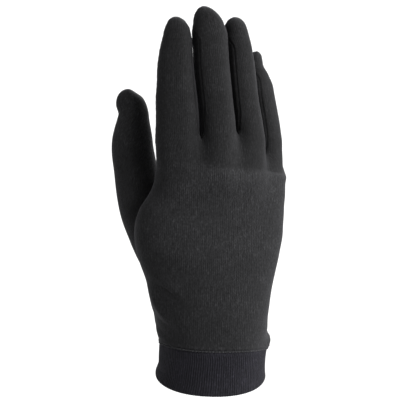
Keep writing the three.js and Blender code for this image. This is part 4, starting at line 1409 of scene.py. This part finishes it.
# Floor: how far it lies below the hem and reaches, in metres, its paleness and its roughness
FLOOR_DROP = 0.34
FLOOR_REACH = 30
PAPER_TONE = (0.93, 0.93, 0.93, 1)
PAPER_ROUGHNESS = 0.9

# Soft lights from far away: direction from the glove to the light, strength, softness in degrees
SUNS = {
    "key": ((0.95, -0.60, 0.60), 4.0, 32),
    "edge": ((1, 0.30, 0.35), 2.1, 30),
    "fill": ((-0.9, 0.15, 0.35), 0.40, 50),
    "behind": ((0.35, 1, 0.45), 1.6, 30),
}
SOFT_LIGHT = 0.27

# Camera: elevation and roll, distance in metres, the point it looks at in millimetres, and its lens
ELEVATION = np.radians(18)
ROLL = np.radians(1.8)
CAMERA_DISTANCE = 1.0
TARGET = Vector((-9.9, 15, 112)) * METRES
FOCAL_PIXELS = 1587
IMAGE_PIXELS = 400
SENSOR = 36

floor_mesh = bpy.data.meshes.new("floor")
floor_corners = [(x * FLOOR_REACH, y * FLOOR_REACH, -FLOOR_DROP)
                 for x, y in [(-1, -1), (1, -1), (1, 1), (-1, 1)]]
floor_mesh.from_pydata(floor_corners, [], [(0, 1, 2, 3)])
floor = bpy.data.objects.new("floor", floor_mesh)
bpy.context.scene.collection.objects.link(floor)
paper = bpy.data.materials.new("white_paper")
paper.use_nodes = True
paper.node_tree.nodes["Principled BSDF"].inputs["Base Color"].default_value = PAPER_TONE
paper.node_tree.nodes["Principled BSDF"].inputs["Roughness"].default_value = PAPER_ROUGHNESS
floor_mesh.materials.append(paper)
# The wide bright floor would light the dark cloth from below
floor.visible_diffuse = False

for name, (towards, strength, softness) in SUNS.items():
    light = bpy.data.lights.new(name, "SUN")
    light.energy = strength
    light.angle = np.radians(softness)
    lamp = bpy.data.objects.new(name, light)
    lamp.rotation_mode = "QUATERNION"
    lamp.rotation_quaternion = Vector(towards).to_track_quat("Z", "Y")
    bpy.context.scene.collection.objects.link(lamp)

world = bpy.data.worlds.new("studio")
world.use_nodes = True
soft_light = world.node_tree.nodes["Background"]
soft_light.inputs[0].default_value = (1, 1, 1, 1)
soft_light.inputs[1].default_value = SOFT_LIGHT
# The backdrop above the floor's edge is as white as the floor
backdrop = node(world.node_tree, "ShaderNodeBackground", in0=(1, 1, 1, 1), in1=1.0)
either = node(world.node_tree, "ShaderNodeMixShader")
seen = node(world.node_tree, "ShaderNodeLightPath").outputs["Is Camera Ray"]
world.node_tree.links.new(seen, either.inputs[0])
world.node_tree.links.new(soft_light.outputs[0], either.inputs[1])
world.node_tree.links.new(backdrop.outputs[0], either.inputs[2])
world.node_tree.links.new(either.outputs[0], world.node_tree.nodes["World Output"].inputs["Surface"])
bpy.context.scene.world = world
bpy.context.scene.view_settings.view_transform = "Standard"

backwards = Vector((0, -np.cos(ELEVATION), np.sin(ELEVATION)))
level = Vector((1, 0, 0))
upright = backwards.cross(level)
rightwards = level * np.cos(ROLL) + upright * np.sin(ROLL)
upwards = backwards.cross(rightwards)
camera_data = bpy.data.cameras.new("camera")
camera_data.lens = FOCAL_PIXELS * SENSOR / IMAGE_PIXELS
camera_data.sensor_width = SENSOR
camera = bpy.data.objects.new("camera", camera_data)
turned = Matrix((rightwards, upwards, backwards)).transposed().to_4x4()
camera.matrix_world = Matrix.Translation(TARGET + backwards * CAMERA_DISTANCE) @ turned
bpy.context.scene.collection.objects.link(camera)
bpy.context.scene.camera = camera
